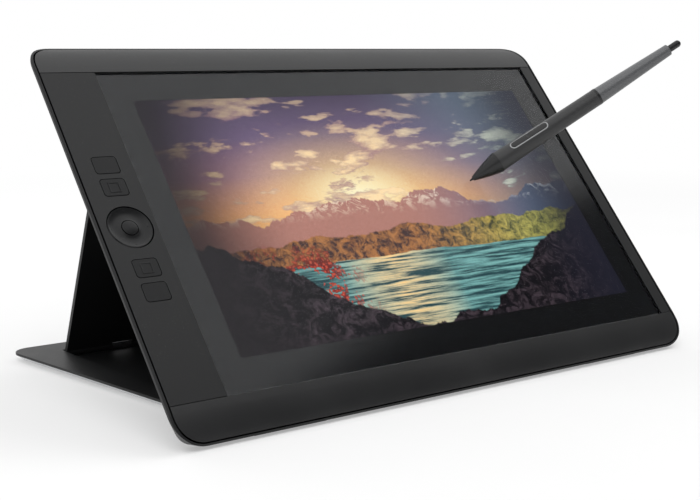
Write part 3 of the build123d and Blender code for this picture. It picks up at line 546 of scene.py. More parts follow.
class Landscape(Graph):
    """Hills, a lake and evening clouds, painted in layers from the sky to the front."""

    def __init__(self, tree: bpy.types.NodeTree, sun: tuple[float, float]) -> None:
        """Paints the picture over coordinates that run from 0 to 1 across and up it.

        Args:
            tree: The material's tree.
            sun: Place of the sun across and up the picture.
        """
        super().__init__(tree)
        self.sun = sun
        self.place = self.where("UV")
        split = self.add("SeparateXYZ", None, Vector=self.place).outputs
        self.across, self.up = split["X"], split["Y"]
        self.wide = self.vector("MULTIPLY", self.place, (1.78, 1.0, 1.0))
        self.right = self.between(self.across, 0.48, 0.90, smooth=True)
        self.picture: Input = (0.0, 0.0, 0.0)
        for layer in (self.sky, self.clouds, self.peaks, self.slopes, self.lake, self.bushes, self.rocks,
                      self.sides, self.strokes):
            layer()

    def lay(self, mask: Input, colour: Input, blend: str = "MIX") -> None:
        """Lays a colour over the picture through a mask."""
        self.picture = self.mix(mask, self.picture, colour, blend)

    def off(self, middle: float) -> Socket:
        """Distance across the picture from an upright line."""
        return self.math("ABSOLUTE", self.math("SUBTRACT", self.across, middle))

    def ridge(self, seed: float, level: float, height: float, hills: float, soft: float,
              up: Socket | None = None) -> Socket:
        """Mask of the ground under one line of hills.

        Args:
            seed: Place in the random pattern.
            level: Mean height of the line.
            height: Rise and fall of the line.
            hills: Number of hills.
            soft: Softness of the line.
            up: Height that is compared with the line, if not the picture's own.

        Returns:
            1 under the line and 0 over it.
        """
        place = self.add("CombineXYZ", None, X=self.across, Y=seed, Z=0.0).outputs[0]
        line = self.math("SUBTRACT", self.noise(place, hills, 7.0, 0.58), 0.5)
        top = self.math("MULTIPLY_ADD", line, height, level)
        return self.between(self.math("SUBTRACT", top, self.up if up is None else up), -soft, soft)

    def sky(self) -> None:
        """Sky with the sun's glow, warm at the left and cool at the right."""
        self.picture = self.ramp(self.up, [
            (0.40, (1.0, 0.52, 0.14)), (0.52, (0.86, 0.40, 0.20)), (0.66, (0.36, 0.19, 0.25)),
            (0.82, (0.15, 0.105, 0.19)), (1.0, (0.060, 0.045, 0.085)),
        ])
        self.lay(self.times(self.right, 0.80), (0.10, 0.15, 0.20))
        dx = self.times(self.math("SUBTRACT", self.across, self.sun[0]), 1.25)
        dy = self.times(self.math("SUBTRACT", self.up, self.sun[1]), 1.35)
        away = self.math("SQRT", self.math("ADD", self.times(dx, dx), self.times(dy, dy)))
        for reach, fall, glow in ((0.46, 1.5, (1.0, 0.72, 0.26)), (0.20, 1.1, (1.0, 0.93, 0.62))):
            self.lay(self.math("POWER", self.between(away, reach, 0.0), fall), glow)

    def clouds(self) -> None:
        """Banks of cloud, lit from below."""
        flat = self.vector("MULTIPLY", self.place, (1.9, 3.2, 1.0))
        above = self.vector("ADD", flat, (0.03, 0.16, 0.0))
        puffs = self.cells(flat, 5.2, Smoothness=0.45, Detail=3.0, Roughness=0.55)
        banks = self.math("MULTIPLY_ADD", puffs, -0.30, self.noise(flat, 1.9, 9.0, 0.60, 0.7))
        depth = self.noise(above, 1.9, 9.0, 0.60, 0.7)
        lit = self.between(self.math("SUBTRACT", banks, self.times(depth, 0.55)), -0.10, 0.12)
        shade = self.mix(self.right, (0.30, 0.15, 0.20), (0.090, 0.125, 0.175))
        bright = self.mix(self.right, (1.0, 0.74, 0.42), (0.62, 0.68, 0.58))
        high = self.times(self.between(self.up, 0.40, 0.50), self.between(self.up, 1.0, 0.72, 0.35, 1.0))
        self.lay(self.times(self.between(banks, 0.225, 0.275), high, 0.92), self.mix(lit, shade, bright))

    def peaks(self) -> None:
        """Far peaks with snow on their tops."""
        haze = self.mix(self.right, (0.44, 0.20, 0.16), (0.085, 0.12, 0.20))
        white = self.mix(self.right, (1.0, 0.82, 0.62), (0.72, 0.78, 0.84))
        snow = self.between(self.noise(self.wide, 17.0, 9.0, 0.72, 0.8), 0.50, 0.56)
        capped = self.mix(self.times(snow, self.between(self.up, 0.46, 0.56)), haze, white)
        self.lay(self.ridge(3.1, 0.50, 0.42, 3.6, 0.003), capped)

    def slopes(self) -> None:
        """Lower hills with wood at the left and meadow at the right."""
        slopes = self.noise(self.wide, 26.0, 9.0, 0.72, 0.6)
        meadow = self.mix(self.between(slopes, 0.38, 0.66), (0.060, 0.075, 0.035), (0.58, 0.56, 0.13))
        wood = self.mix(self.between(slopes, 0.42, 0.60), (0.055, 0.030, 0.030), (0.46, 0.19, 0.06))
        self.lay(self.ridge(8.6, 0.40, 0.22, 4.6, 0.003), self.mix(self.right, wood, meadow))

    def lake(self) -> None:
        """Rippled lake with the sun's track on it."""
        stretched = self.vector("MULTIPLY", self.place, (7.0, 70.0, 1.0))
        ripple = self.between(self.noise(stretched, 1.0, 6.0, 0.62), 0.42, 0.60)
        water = self.mix(ripple, (0.018, 0.060, 0.070), (0.20, 0.46, 0.44))
        track = self.times(self.between(self.off(self.sun[0]), 0.14, 0.0), ripple)
        self.lay(self.ridge(12.9, 0.295, 0.05, 6.0, 0.002), self.mix(track, water, (1.0, 0.66, 0.28)))

    def bushes(self) -> None:
        """Red bushes on the lake's left bank."""
        leaves = self.cells(self.wide, 85.0)
        clumps = self.math("MULTIPLY_ADD", leaves, -0.16, self.noise(self.wide, 7.5, 5.0, 0.62, 0.4))
        bank = self.ridge(27.3, 0.33, 0.30, 2.4, 0.05)
        red = self.mix(self.between(leaves, 0.15, 0.55), (0.62, 0.085, 0.045), (0.16, 0.018, 0.016))
        left = self.between(self.across, 0.36, 0.27)
        self.lay(self.times(self.between(clumps, 0.44, 0.455), bank, left), red)

    def rocks(self) -> None:
        """Dark rocks in front, higher at both sides."""
        bowl = self.between(self.off(0.52), 0.10, 0.48, -0.12, 0.26)
        near = self.ridge(21.7, 0.15, 0.30, 5.2, 0.003, self.math("SUBTRACT", self.up, bowl))
        rough = self.between(self.noise(self.wide, 19.0, 10.0, 0.75, 1.2), 0.48, 0.66)
        self.lay(near, self.mix(rough, (0.0035, 0.0030, 0.0045), (0.070, 0.050, 0.062)))

    def sides(self) -> None:
        """Dusk toward both sides."""
        side = self.times(self.between(self.off(0.50), 0.25, 0.50, smooth=True), 0.94)
        self.lay(side, self.mix(self.right, (0.014, 0.012, 0.014), (0.012, 0.012, 0.022)))

    def strokes(self) -> None:
        """Fine strokes of a brush over it all."""
        self.lay(0.30, self.grey(self.noise(self.wide, 70.0, 4.0, 0.7, 2.0)), "OVERLAY")


@dataclass(frozen=True)
class LitPicture(Coat):
    """Glowing picture, drawn by the shader alone.

    Attributes:
        strength: Brightness of the lit picture.
        sun: Place of the sun across and up the picture.
        specular: Strength of its plain reflection.
    """

    name: str = "lit_picture"
    strength: float = 1.0
    sun: tuple[float, float] = (0.42, 0.55)
    specular: float = 0.20

    def paint(self, graph: Surface) -> None:
        """Joins the nodes of the finish.

        Args:
            graph: Graph of the material.
        """
        landscape = Landscape(graph.tree, self.sun)
        rough = graph.between(graph.noise(landscape.place, 1500.0, 2.0, 0.5), 0.3, 0.7, 0.10, 0.14)
        graph.coat(Base_Color=(0.004, 0.004, 0.005), Roughness=rough, Emission_Color=landscape.picture,
                   Emission_Strength=self.strength, Specular_IOR_Level=self.specular)


@dataclass(frozen=True)
class CircuitBoard(Coat):
    """Circuit board with lacquer, fine tracks and tinned pads.

    Attributes:
        lacquer: Colour of the lacquer.
        track: Colour of the lacquer over a track.
        pad: Colour of a tinned pad.
    """

    lacquer: Colour = (0.010, 0.075, 0.030)
    track: Colour = (0.020, 0.130, 0.055)
    pad: Colour = (0.55, 0.55, 0.50)

    def paint(self, graph: Surface) -> None:
        """Joins the nodes of the finish.

        Args:
            graph: Graph of the material.
        """
        place = graph.where()
        tracks = graph.add("TexBrick", None, Vector=place, Scale=300.0, Color1=(1.0, 1.0, 1.0),
                           Color2=(0.4, 0.4, 0.4), Mortar=(0.0, 0.0, 0.0)).outputs
        pads = graph.between(graph.cells(place, 260.0), 0.20, 0.16)
        base = graph.mix(tracks[0], self.lacquer, self.track)
        graph.coat(Base_Color=graph.mix(pads, base, self.pad), Metallic=pads,
                   Roughness=graph.between(tracks[1], 0.0, 1.0, 0.34, 0.42))
        graph.emboss(tracks[1], 0.03, 0.3)


@dataclass(frozen=True)
class PaleFloor(Coat):
    """Pale floor that keeps the object's shadow and turns to plain white away from it.

    Attributes:
        tones: Darkest and lightest tone near the object.
        reach: Distances where the turn to white starts and ends, in metres.
        glow: Brightness that the floor near the object has of its own.
    """

    name: str = "pale_floor"
    tones: tuple[float, float] = (0.48, 0.50)
    reach: tuple[float, float] = (0.22, 1.5)
    glow: float = 0.36

    def paint(self, graph: Surface) -> None:
        """Joins the nodes of the finish.

        Args:
            graph: Graph of the material.
        """
        place = graph.where()
        tone = graph.between(graph.noise(place, 3.0), 0.3, 0.7, *self.tones)
        far = graph.between(graph.vector("LENGTH", place, output="Value"), *self.reach, smooth=True)
        path = graph.add("LightPath").outputs
        seen = reduce(partial(graph.math, "MAXIMUM"),
                      (path["Is Glossy Ray"], path["Is Transmission Ray"], path["Is Camera Ray"]))
        lit = graph.times(seen, graph.math("MULTIPLY_ADD", far, 1.0 - self.glow, self.glow))
        graph.coat(Base_Color=graph.grey(graph.times(tone, graph.math("SUBTRACT", 1.0, far))), Roughness=0.9,
                   Specular_IOR_Level=0.0, Emission_Color=(1.0, 1.0, 1.0), Emission_Strength=lit)


class Finish(Enum):
    """Every finish of the object and its floor."""

    BODY = MouldedPlastic("body_plastic", (0.0090, 0.0092, 0.0097), (0.045, 0.045, 0.047), roughness=0.40,
                          specular=0.36)
    FACE = MouldedPlastic("face_plastic", (0.0080, 0.0082, 0.0087), (0.040, 0.040, 0.041), roughness=0.36,
                          grain=0.35, specular=0.42)
    BAND = MouldedPlastic("band_plastic", (0.0120, 0.0122, 0.0128), (0.050, 0.050, 0.052), roughness=0.34,
                          grain=0.35, specular=0.62)
    KEY = MouldedPlastic("key_plastic", (0.0070, 0.0072, 0.0077), (0.055, 0.055, 0.057), roughness=0.32,
                         grain=0.25, depth=0.006, wear=0.8, specular=0.30)
    RING = MouldedPlastic("ring_plastic", (0.0075, 0.0077, 0.0082), (0.055, 0.055, 0.057), roughness=0.26,
                          grain=0.2, depth=0.004, wear=0.8, specular=0.34)
    STAND = MouldedPlastic("stand_plastic", (0.0060, 0.0062, 0.0066), (0.040, 0.040, 0.040), roughness=0.44,
                           grain=0.55, depth=0.014, specular=0.32)
    PEN = MouldedPlastic("pen_plastic", (0.092, 0.0945, 0.099), (0.14, 0.14, 0.14), roughness=0.34,
                         grain=0.30, depth=0.002, wear=0.0, dust=0.0, specular=0.8, mottle=0.05)
    NOSE = MouldedPlastic("nose_plastic", (0.010, 0.0102, 0.0108), (0.06, 0.06, 0.06), roughness=0.30,
                          grain=0.15, depth=0.003, specular=0.45)
    SWITCH = MouldedPlastic("switch_plastic", (0.014, 0.0142, 0.0148), (0.08, 0.08, 0.08), roughness=0.18,
                            grain=0.12, depth=0.001, wear=0.3, dust=0.1)
    TIP = MouldedPlastic("tip_plastic", (0.007, 0.007, 0.0075), (0.05, 0.05, 0.05), roughness=0.34,
                         grain=0.15, depth=0.003)
    FILM = MouldedPlastic("white_film", (0.62, 0.62, 0.60), (0.8, 0.8, 0.8), roughness=0.5,
                          wear=0.1, dust=0.05)
    FOOT = SoftRubber("foot_rubber", (0.010, 0.010, 0.0105), (0.035, 0.035, 0.035))
    GRIP = SoftRubber("grip_rubber", (0.030, 0.0303, 0.0312), (0.040, 0.040, 0.041), roughness=0.46,
                      grain=0.12)
    PAN = SheetMetal("bright_pan", (0.78, 0.79, 0.80), (0.60, 0.61, 0.62), roughness=0.24)
    PLATE = SheetMetal("pressed_plate", (0.60, 0.60, 0.60), (0.45, 0.45, 0.45), roughness=0.34)
    CAST = SheetMetal("cast_frame", (0.30, 0.305, 0.31), (0.22, 0.22, 0.22), roughness=0.45, stretch=3.0)
    STEEL = SheetMetal("ground_steel", (0.50, 0.50, 0.51), (0.34, 0.34, 0.35), roughness=0.25, line=0.06)
    TRIM = SheetMetal("satin_trim", (0.46, 0.465, 0.475), (0.36, 0.365, 0.37), roughness=0.30, line=0.05)
    PLATED = SheetMetal("plated_shell", (0.74, 0.74, 0.74), (0.60, 0.60, 0.60), roughness=0.18, line=0.08)
    GOLD = SheetMetal("gold_contacts", (0.85, 0.62, 0.25), (0.65, 0.46, 0.18), roughness=0.22, line=0.04)
    COPPER = SheetMetal("coil_copper", (0.62, 0.28, 0.12), (0.42, 0.18, 0.08), roughness=0.3, line=0.2,
                        stretch=0.2)
    GLASS = EtchedGlass()
    PRINT = PrintedBlack()
    PICTURE = LitPicture()
    BOARD = CircuitBoard("green_board")
    FLOOR = PaleFloor()


class Wardrobe:
    """Keeps each finish's material, so that it is built once."""

    def __init__(self) -> None:
        """Starts with no material."""
        self.made: dict[Finish, bpy.types.Material] = {}

    def material(self, finish: Finish) -> bpy.types.Material:
        """Material of a finish.

        Args:
            finish: Which finish.

        Returns:
            Its material.
        """
        if finish not in self.made:
            self.made[finish] = finish.value.build()
        return self.made[finish]

    def dress(self, dressing: dict[Finish, str]) -> None:
        """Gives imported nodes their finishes.

        Args:
            dressing: Names of the nodes, with spaces between them, by finish.
        """
        for finish, names in dressing.items():
            for name in names.split():
                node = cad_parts[name]
                if not node.material_slots:
                    node.data.materials.append(None)
                for place in node.material_slots:
                    place.material = self.material(finish)
                LOG.info("dressed %s in %s", name, finish.name.lower())


# ---------------------------------------------------------------- added pieces


@dataclass
class Piece:
    """A mesh piece that is added to the frame.

    Attributes:
        name: Name of the piece.
        body: Body that it rides on.
        finish: Its finish.
        slot: Material slot of the record; it is not used.
        mesh: The mesh while it is made, in metres in the frame.
    """

    name: str
    body: Body
    finish: Finish
    slot: str
    mesh: bmesh.types.BMesh = field(default_factory=bmesh.new)

    def ring(self, line: Line, height: float, place: Matrix, factor: float = 1.0) -> list[bmesh.types.BMVert]:
        """Corners of a line that is scaled by a factor, at a height over the axes of a place."""
        return [self.mesh.verts.new(place @ Vector((factor * x, factor * y, height))) for x, y in line]

    def wall(self, lower: list[bmesh.types.BMVert], upper: list[bmesh.types.BMVert]) -> None:
        """Faces between two rings with as many corners."""
        for index, corner in enumerate(lower):
            self.mesh.faces.new((lower[index - 1], corner, upper[index], upper[index - 1]))

    def prism(self, outline: Line, low: float, high: float, place: Matrix, hole: Line | None = None) -> None:
        """Adds a straight body over an outline, or over a frame between two outlines.

        Args:
            outline: Corners of the outline, anticlockwise.
            low: Height of its underside.
            high: Height of its top.
            place: Axes that the outline is drawn in.
            hole: Corners of an inner outline with as many corners, for a frame.
        """
        bottom, top = self.ring(outline, low, place), self.ring(outline, high, place)
        self.wall(bottom, top)
        if hole:
            inner_bottom, inner_top = self.ring(hole, low, place), self.ring(hole, high, place)
            self.wall(inner_top, inner_bottom)
            self.wall(top, inner_top)
            self.wall(inner_bottom, bottom)
        else:
            self.mesh.faces.new(top)
            self.mesh.faces.new(bottom[::-1])

    def lathe(self, profile: Line, place: Matrix, steps: int) -> None:
        """Adds a turned body.

        Args:
            profile: Radii and heights along its skin, from the axis to the axis.
            place: Axes with the turning axis as their third.
            steps: Number of steps around.
        """
        turns = [math.tau * step / steps for step in range(steps)]
        circle = [(math.cos(turn), math.sin(turn)) for turn in turns]
        rings = [self.ring(circle if radius > 0.0 else circle[:1], height, place, radius)
                 for radius, height in profile]
        for lower, upper in zip(rings, rings[1:]):
            for step in range(steps):
                after = (step + 1) % steps
                corners = (lower[step % len(lower)], lower[after % len(lower)], upper[after % len(upper)],
                           upper[step % len(upper)])
                corners = tuple(dict.fromkeys(corners))
                if len(corners) > 2:
                    self.mesh.faces.new(corners)

    def screw(self, place: Matrix, radius: float, height: float, arm: float) -> None:
        """Adds a low screw head with a cross recess.

        Args:
            place: Axes with the screw's axis as their third and the head's seat at zero.
            radius: Radius of the head.
            height: Height of the head.
            arm: Half the length of the recess.
        """
        width = 0.32 * arm
        cross = []
        for quarter in range(4):
            turn = Matrix.Rotation(math.pi / 2 * quarter, 2)
            cross += [turn @ Vector(corner) for corner in ((arm, -width), (arm, width), (width, width))]
        rim = [corner.normalized() for corner in cross]
        rings = [self.ring(line, share * height, place, factor) for line, factor, share in (
            (rim, radius, 0.0),  # seat
            (rim, radius, 0.6),  # shoulder
            (rim, 0.86 * radius, 1.0),  # crown
            (cross, 1.0, 1.0),  # lip of the recess
            (cross, 0.9, 0.45),  # floor of the recess
        )]
        for lower, upper in zip(rings, rings[1:]):
            self.wall(lower, upper)
        self.mesh.faces.new(rings[-1])
        self.mesh.faces.new(rings[0][::-1])

    def finish_mesh(self, wardrobe: Wardrobe) -> bpy.types.Object:
        """Turns the mesh into an object that rides on its body.

        Args:
            wardrobe: Keeper of the materials.

        Returns:
            The object.
        """
        bmesh.ops.recalc_face_normals(self.mesh, faces=self.mesh.faces)
        for face in self.mesh.faces:
            face.smooth = True
        for edge in self.mesh.edges:
            edge.smooth = edge.calc_face_angle(0.0) < SMOOTH_ANGLE
        data = bpy.data.meshes.new(self.name)
        self.mesh.to_mesh(data)
        self.mesh.free()
        data.materials.append(wardrobe.material(self.finish))
        piece = bpy.data.objects.new(self.name, data)
        bpy.context.scene.collection.objects.link(piece)
        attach(piece, self.body.value)
        LOG.info("built %s: %d faces", self.name, len(data.polygons))
        return piece


def chamfered(width: float, height: float, cut: float, middle: float) -> Line:
    """Outline of a rectangle with cut corners.

    Args:
        width: Its width.
        height: Its height.
        cut: Size of its cut corners.
        middle: Place of its middle across.

    Returns:
        Its corners, anticlockwise.
    """
    x, y = width / 2, height / 2
    corners = ((x, y - cut), (x - cut, y), (cut - x, y), (-x, y - cut),
               (-x, cut - y), (cut - x, -y), (x - cut, -y), (x, cut - y))
    return [(middle + across, up) for across, up in corners]


# ---------------------------------------------------------------- sub-assemblies


@dataclass
class ScreenStack:
    """Glass, printed border, lit picture and the layers behind them, in millimetres.

    Attributes:
        wardrobe: Keeper of the materials.
        width: Width of the lit picture.
        height: Height of the lit picture.
        offset: How far its middle is right of the tablet's middle.
        depth: Depth of the lit sheet.
        overlap: How much wider and higher the lit sheet is than the picture.
        grid: Number of the lit sheet's faces across and up.
        glass: Places of the left and right edge of the glass.
        glass_height: Height of the glass.
        border: Depths of the back and the front of the printed border.
        margin: Distance of the border from the edge of the glass.
        cuts: Size of the border's cut corners, outside and inside.
    """

    wardrobe: Wardrobe
    width: float = 293.8
    height: float = 165.2
    offset: float = 11.0
    depth: float = 1.75
    overlap: float = 0.6
    grid: tuple[int, int] = (24, 14)
    glass: tuple[float, float] = (-152.65, 176.25)
    glass_height: float = 203.9
    border: tuple[float, float] = (1.70, 1.64)
    margin: float = 0.1
    cuts: tuple[float, float] = (0.5, 0.2)

    def build(self) -> None:
        """Builds the border and the picture, and dresses the layers."""
        self.build_border()
        self.build_picture()
        self.wardrobe.dress({
            Finish.GLASS: "cover_glass", Finish.FILM: "backlight",
            Finish.BOARD: "digitizer_board main_board key_board", Finish.PLATE: "shield_plate",
            Finish.CAST: "mid_frame", Finish.PRINT: "lcd_panel",
        })

    def build_border(self) -> None:
        """Black print on the back of the glass, around the picture."""
        piece = Piece("glass_border", Body.DISPLAY, Finish.PRINT, "face_plastic")
        left, right = self.glass
        outer = chamfered(right - left - 2 * self.margin, self.glass_height - 2 * self.margin,
                          self.cuts[0], (left + right) / 2)
        inner = chamfered(self.width, self.height, self.cuts[1], self.offset)
        back, front = self.border
        piece.prism(outer, -back, -front, GLASS.matrix(), inner)
        piece.finish_mesh(self.wardrobe)

    def build_picture(self) -> None:
        """Thin lit sheet in front of the panel, with its own coordinates for the picture."""
        piece = Piece("screen_picture", Body.DISPLAY, Finish.PICTURE, "screen")
        place = GLASS.matrix(self.offset, 0.0, -self.depth)
        coordinates = piece.mesh.loops.layers.uv.new("picture")
        columns, rows = self.grid
        width, height = self.width + self.overlap, self.height + self.overlap
        sheet = [piece.ring([((i / columns - 0.5) * width, (j / rows - 0.5) * height)
                             for i in range(columns + 1)], 0.0, place) for j in range(rows + 1)]
        for j in range(rows):
            for i in range(columns):
                corners = (i, j), (i + 1, j), (i + 1, j + 1), (i, j + 1)
                face = piece.mesh.faces.new([sheet[v][u] for u, v in corners])
                for loop, (u, v) in zip(face.loops, corners):
                    loop[coordinates].uv = (u / columns, v / rows)
        piece.finish_mesh(self.wardrobe)


@dataclass
class TabletShell:
    """Housing of the tablet with its bands, strips, screws, socket, feet and hooks, in millimetres.

    Attributes:
        wardrobe: Keeper of the materials.
        screw_columns: Places of the case screws across the back.
        screw_row: Distance of their two rows from the middle.
        screw_seat: Depth of the seat of a screw's head.
        head: Radius, height and half the recess of a screw's head.
        shank: Radii and heights of a screw's shank.
        tongue: Place of the socket's tongue: across, up and out.
        tongue_half: Half the thickness of the tongue.
        contacts: Number of contacts on each side of it.
        contact_pitch: Distance between two contacts.
        contact: Outline of a contact.
        contact_thick: Thickness of a contact.
    """

    wardrobe: Wardrobe
    screw_columns: tuple[float, ...] = (-172.0, -67.8, 67.8, 172.0)
    screw_row: float = 99.3
    screw_seat: float = 12.8
    head: tuple[float, float, float] = (2.0, 1.0, 1.1)
    shank: Line = ((0.0, 0.05), (1.0, 0.05), (1.0, -7.6), (0.7, -8.2), (0.0, -8.4))
    tongue: Point = (175.6, 83.3, -6.4)
    tongue_half: float = 0.5
    contacts: int = 12
    contact_pitch: float = 1.05
    contact: Line = ((-2.2, -0.28), (2.6, -0.28), (2.6, 0.28), (-2.2, 0.28))
    contact_thick: float = 0.04

    def build(self) -> None:
        """Dresses the housing, and builds the screws and the contacts."""
        self.wardrobe.dress({
            Finish.BODY: "rear_cover", Finish.BAND: "upper_band lower_band",
            Finish.FACE: "right_strip control_strip", Finish.FOOT: "foot_left foot_right back_feet",
            Finish.CAST: "hook_left hook_right", Finish.KEY: "power_button", Finish.PLATED: "cable_socket",
        })
        self.build_screws()
        self.build_contacts()

    def build_screws(self) -> None:
        """Case screws with cross recesses, in place of the plain packed ones."""
        piece = Piece("case_screws_detailed", Body.DISPLAY, Finish.STEEL, "pin_steel")
        for x in self.screw_columns:
            for up in (-self.screw_row, self.screw_row):
                place = GLASS.matrix(x, up, -self.screw_seat) @ TURNED_OVER
                piece.screw(place, *self.head)
                piece.lathe(self.shank, place, 16)
        screws = piece.finish_mesh(self.wardrobe)
        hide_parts("case_screws")

    def build_contacts(self) -> None:
        """Two rows of gold contacts on the tongue of the cable socket."""
        piece = Piece("socket_contacts", Body.DISPLAY, Finish.GOLD, "socket_metal")
        x, middle, out = self.tongue
        near, far = self.tongue_half, self.tongue_half + self.contact_thick
        for index in range(self.contacts):
            place = GLASS.matrix(x, middle + (index - (self.contacts - 1) / 2) * self.contact_pitch, out)
            for low, high in ((-far, -near), (near, far)):
                piece.prism(self.contact, low, high, place)
        piece.finish_mesh(self.wardrobe)


@dataclass
class ControlColumn:
    """Keys, rocker ring and button left of the screen, in millimetres.

    Attributes:
        wardrobe: Keeper of the materials.
        column: Place of the column across the tablet.
        dot_radius: Distance of the ring's four dots from its middle.
        dot_depth: Depth of the foot of a dot.
        dot: Radii and heights of a dot.
    """

    wardrobe: Wardrobe
    column: float = -168.5
    dot_radius: float = 10.4
    dot_depth: float = 0.95
    dot: Line = ((0.0, 0.42), (0.22, 0.38), (0.38, 0.26), (0.46, 0.0), (0.0, 0.0))

    def build(self) -> None:
        """Dresses the controls and builds the ring's dots."""
        self.wardrobe.dress({
            Finish.KEY: "key_1 key_2 key_3 key_4 home_button", Finish.RING: "rocker_ring",
            Finish.BODY: "rocker_carrier",
        })
        piece = Piece("ring_dots", Body.RING, Finish.KEY, "key_plastic")
        for x, up in ((1, 0), (0, 1), (-1, 0), (0, -1)):
            place = GLASS.matrix(self.column + self.dot_radius * x, self.dot_radius * up, -self.dot_depth)
            piece.lathe(self.dot, place, 20)
        piece.finish_mesh(self.wardrobe)


@dataclass
class FoldingStand:
    """Base, folding support and their hinge hardware, in millimetres.

    Attributes:
        wardrobe: Keeper of the materials.
        brackets: Places of the brackets across the base.
        bracket_top: Height of the top of a bracket's plate.
        rivet_y: Place of the rivets from front to back.
        rivet_half: Half the distance between the two rivets of a bracket.
        rivet: Radii and heights of a rivet's head.
        pan_floor: Height of the underside of the pan.
        screw_x: Places of the pan's screws across the base.
        screw_y: Places of the pan's screws from front to back.
        head: Radius, height and half the recess of a screw's head.
    """

    wardrobe: Wardrobe
    brackets: tuple[float, float] = (-102.8, 102.8)
    bracket_top: float = 5.4
    rivet_y: float = 94.08
    rivet_half: float = 3.6
    rivet: Line = ((0.0, 0.16), (0.7, 0.15), (1.15, 0.08), (1.3, -0.05), (0.0, -0.05))
    pan_floor: float = 0.8
    screw_x: tuple[float, ...] = (-128.0, 0.0, 128.0)
    screw_y: tuple[float, float] = (-98.0, 98.0)
    head: tuple[float, float, float] = (1.8, 0.35, 0.95)

    def build(self) -> None:
        """Dresses the stand, and builds the rivets and the pan's screws."""
        self.wardrobe.dress({
            Finish.STAND: "base_tray support_flap", Finish.PAN: "base_skin", Finish.FOOT: "base_pads",
            Finish.STEEL: "hinge_bracket_left hinge_bracket_right hinge_pin_left hinge_pin_right "
                          "hook_rod_left hook_rod_right",
        })
        self.build_rivets()
        self.build_screws()

    def build_rivets(self) -> None:
        """Two flat rivets in the plate of each bracket."""
        piece = Piece("bracket_rivets", Body.STAND, Finish.STEEL, "pin_steel")
        for x in self.brackets:
            for side in (-self.rivet_half, self.rivet_half):
                piece.lathe(self.rivet, level_axes(x + side, self.rivet_y, self.bracket_top), 24)
        piece.finish_mesh(self.wardrobe)

    def build_screws(self) -> None:
        """Small screws that hold the pan to the tray."""
        piece = Piece("pan_screws", Body.STAND, Finish.STEEL, "pin_steel")
        for x in self.screw_x:
            for y in self.screw_y:
                piece.screw(level_axes(x, y, self.pan_floor) @ TURNED_OVER, *self.head)
        piece.finish_mesh(self.wardrobe)


@dataclass
class Pen:
    """Cordless pen, whose pieces are all packed ones.

    Attributes:
        wardrobe: Keeper of the materials.
    """

    wardrobe: Wardrobe

    def build(self) -> None:
        """Dresses the pen."""
        self.wardrobe.dress({
            Finish.GRIP: "pen_grip", Finish.NOSE: "pen_nose pen_band", Finish.SWITCH: "pen_switch",
            Finish.PEN: "pen_barrel", Finish.TIP: "pen_eraser pen_nib", Finish.TRIM: "switch_frame",
            Finish.COPPER: "pen_coil", Finish.BOARD: "pen_core",
        })


@dataclass(frozen=True)
class Lamp:
    """One soft square lamp that faces the object.

    Attributes:
        name: Its name.
        place: Its middle, in metres.
        size: Its side, in metres.
        power: Its power, in watts.
        aim: Point that it faces, in metres.
    """

    name: str
    place: Point
    size: float
    power: float
    aim: Point = (0.0, 0.0, 0.08)

    def build(self) -> None:
        """Hangs the lamp where reflections and the glass don't show it."""
        light = bpy.data.lights.new(self.name, "AREA")
        light.shape = "SQUARE"
        light.size = self.size
        light.energy = self.power
        lamp = bpy.data.objects.new(self.name, light)
        lamp.location = self.place
        lamp.visible_glossy = False
        lamp.visible_transmission = False
        lamp.rotation_euler = (Vector(self.aim) - Vector(self.place)).to_track_quat("-Z", "Y").to_euler()
        bpy.context.scene.collection.objects.link(lamp)


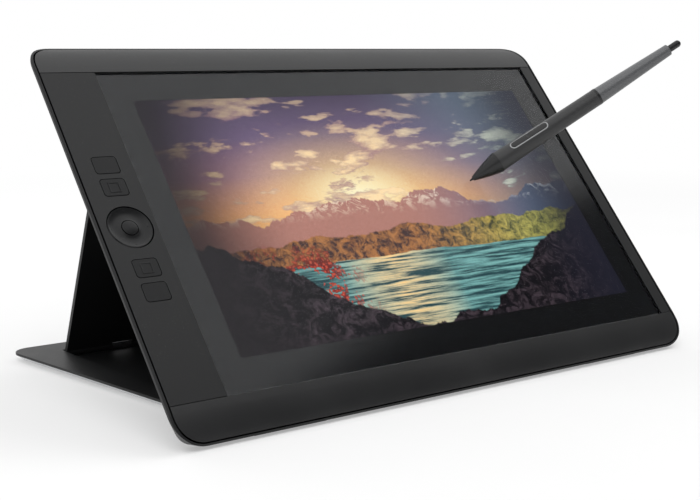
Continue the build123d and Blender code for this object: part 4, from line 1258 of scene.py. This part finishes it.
@dataclass
class Studio:
    """Pale floor, soft light and the camera.

    Attributes:
        wardrobe: Keeper of the materials.
        eye: Place of the camera, in metres.
        turn: How far the view turns from straight back to the right, in degrees.
        fall: How far it looks down, in degrees.
        roll: How far the camera is turned about its view, in degrees.
        lens: Focal length, in millimetres.
        sensor: Width of the camera's sensor, in millimetres.
        card: Middle direction of the dark side of the studio that the glass reflects.
        card_edge: Cosines from that direction where the dark side starts to show and is full.
        card_level: Brightness outside and inside the dark side.
        level: Brightness of the soft light all round.
        lamps: The lamps.
        floor_radius: Radius of the floor, in metres.
    """

    wardrobe: Wardrobe
    eye: Point = (-0.480331, -0.646466, 0.185064)
    turn: float = 37.635
    fall: float = 8.465
    roll: float = -0.30
    lens: float = 66.327
    sensor: float = 36.0
    card: Point = (0.350, -0.702, -0.620)
    card_edge: tuple[float, float] = (-0.010, 0.026)
    card_level: tuple[float, float] = (1.0, 0.10)
    level: float = 0.62
    lamps: tuple[Lamp, ...] = (
        Lamp("key_lamp", (-0.55, -0.75, 1.15), 0.9, 9.5),
        Lamp("fill_lamp", (0.9, -0.2, 1.1), 1.1, 7.0),
        Lamp("back_lamp", (-0.1, 1.1, 1.0), 1.1, 9.0),
    )
    floor_radius: float = 14.0

    def build(self) -> None:
        """Makes the floor, the light and the camera."""
        self.build_floor()
        self.build_world()
        for lamp in self.lamps:
            lamp.build()
        self.build_camera()
        bpy.context.scene.view_settings.view_transform = "Standard"

    def build_floor(self) -> None:
        """Wide pale floor that keeps the object's shadow and shows white."""
        mesh = bmesh.new()
        bmesh.ops.create_circle(mesh, cap_ends=True, segments=64, radius=self.floor_radius)
        data = bpy.data.meshes.new("studio_floor")
        mesh.to_mesh(data)
        mesh.free()
        data.materials.append(self.wardrobe.material(Finish.FLOOR))
        floor = bpy.data.objects.new("studio_floor", data)
        bpy.context.scene.collection.objects.link(floor)

    def build_world(self) -> None:
        """White surroundings with one soft dark side, and a plain soft light on the object."""
        world = bpy.data.worlds.new("studio")
        world.use_nodes = True
        bpy.context.scene.world = world
        graph = Graph(world.node_tree)
        path = graph.add("LightPath").outputs
        toward = graph.vector("DOT_PRODUCT", graph.where("Generated"), Vector(self.card).normalized()[:],
                              output="Value")
        card = graph.between(toward, *self.card_edge, *self.card_level, smooth=True)
        glossy = graph.math("MAXIMUM", path["Is Glossy Ray"], path["Is Transmission Ray"])
        soft = graph.times(graph.math("SUBTRACT", 1.0, glossy), self.level)
        level = graph.math("ADD", graph.times(glossy, card), soft)
        graph.join(world.node_tree.nodes["Background"], Color=(1.0, 1.0, 1.0),
                   Strength=graph.math("MAXIMUM", level, path["Is Camera Ray"]))

    def build_camera(self) -> None:
        """Camera at the photograph's viewing angle."""
        data = bpy.data.cameras.new("camera")
        data.lens = self.lens
        data.sensor_width = self.sensor
        data.clip_start = 0.01
        camera = bpy.data.objects.new("camera", data)
        camera.location = self.eye
        turn, tip, roll = (Matrix.Rotation(math.radians(angle), 3, axis) for angle, axis in
                           ((-self.turn, "Z"), (90.0 - self.fall, "X"), (self.roll, "Z")))
        camera.rotation_euler = (turn @ tip @ roll).to_euler()
        bpy.context.scene.collection.objects.link(camera)
        bpy.context.scene.camera = camera


def main() -> None:
    """Builds the sub-assemblies in order, then the studio."""
    logging.basicConfig(level=logging.INFO, format="%(name)s: %(message)s")
    wardrobe = Wardrobe()
    for part in (TabletShell, ScreenStack, ControlColumn, FoldingStand, Pen, Studio):
        part(wardrobe).build()
        LOG.info("finished %s", part.__name__)


if __name__ == "__main__":
    main()
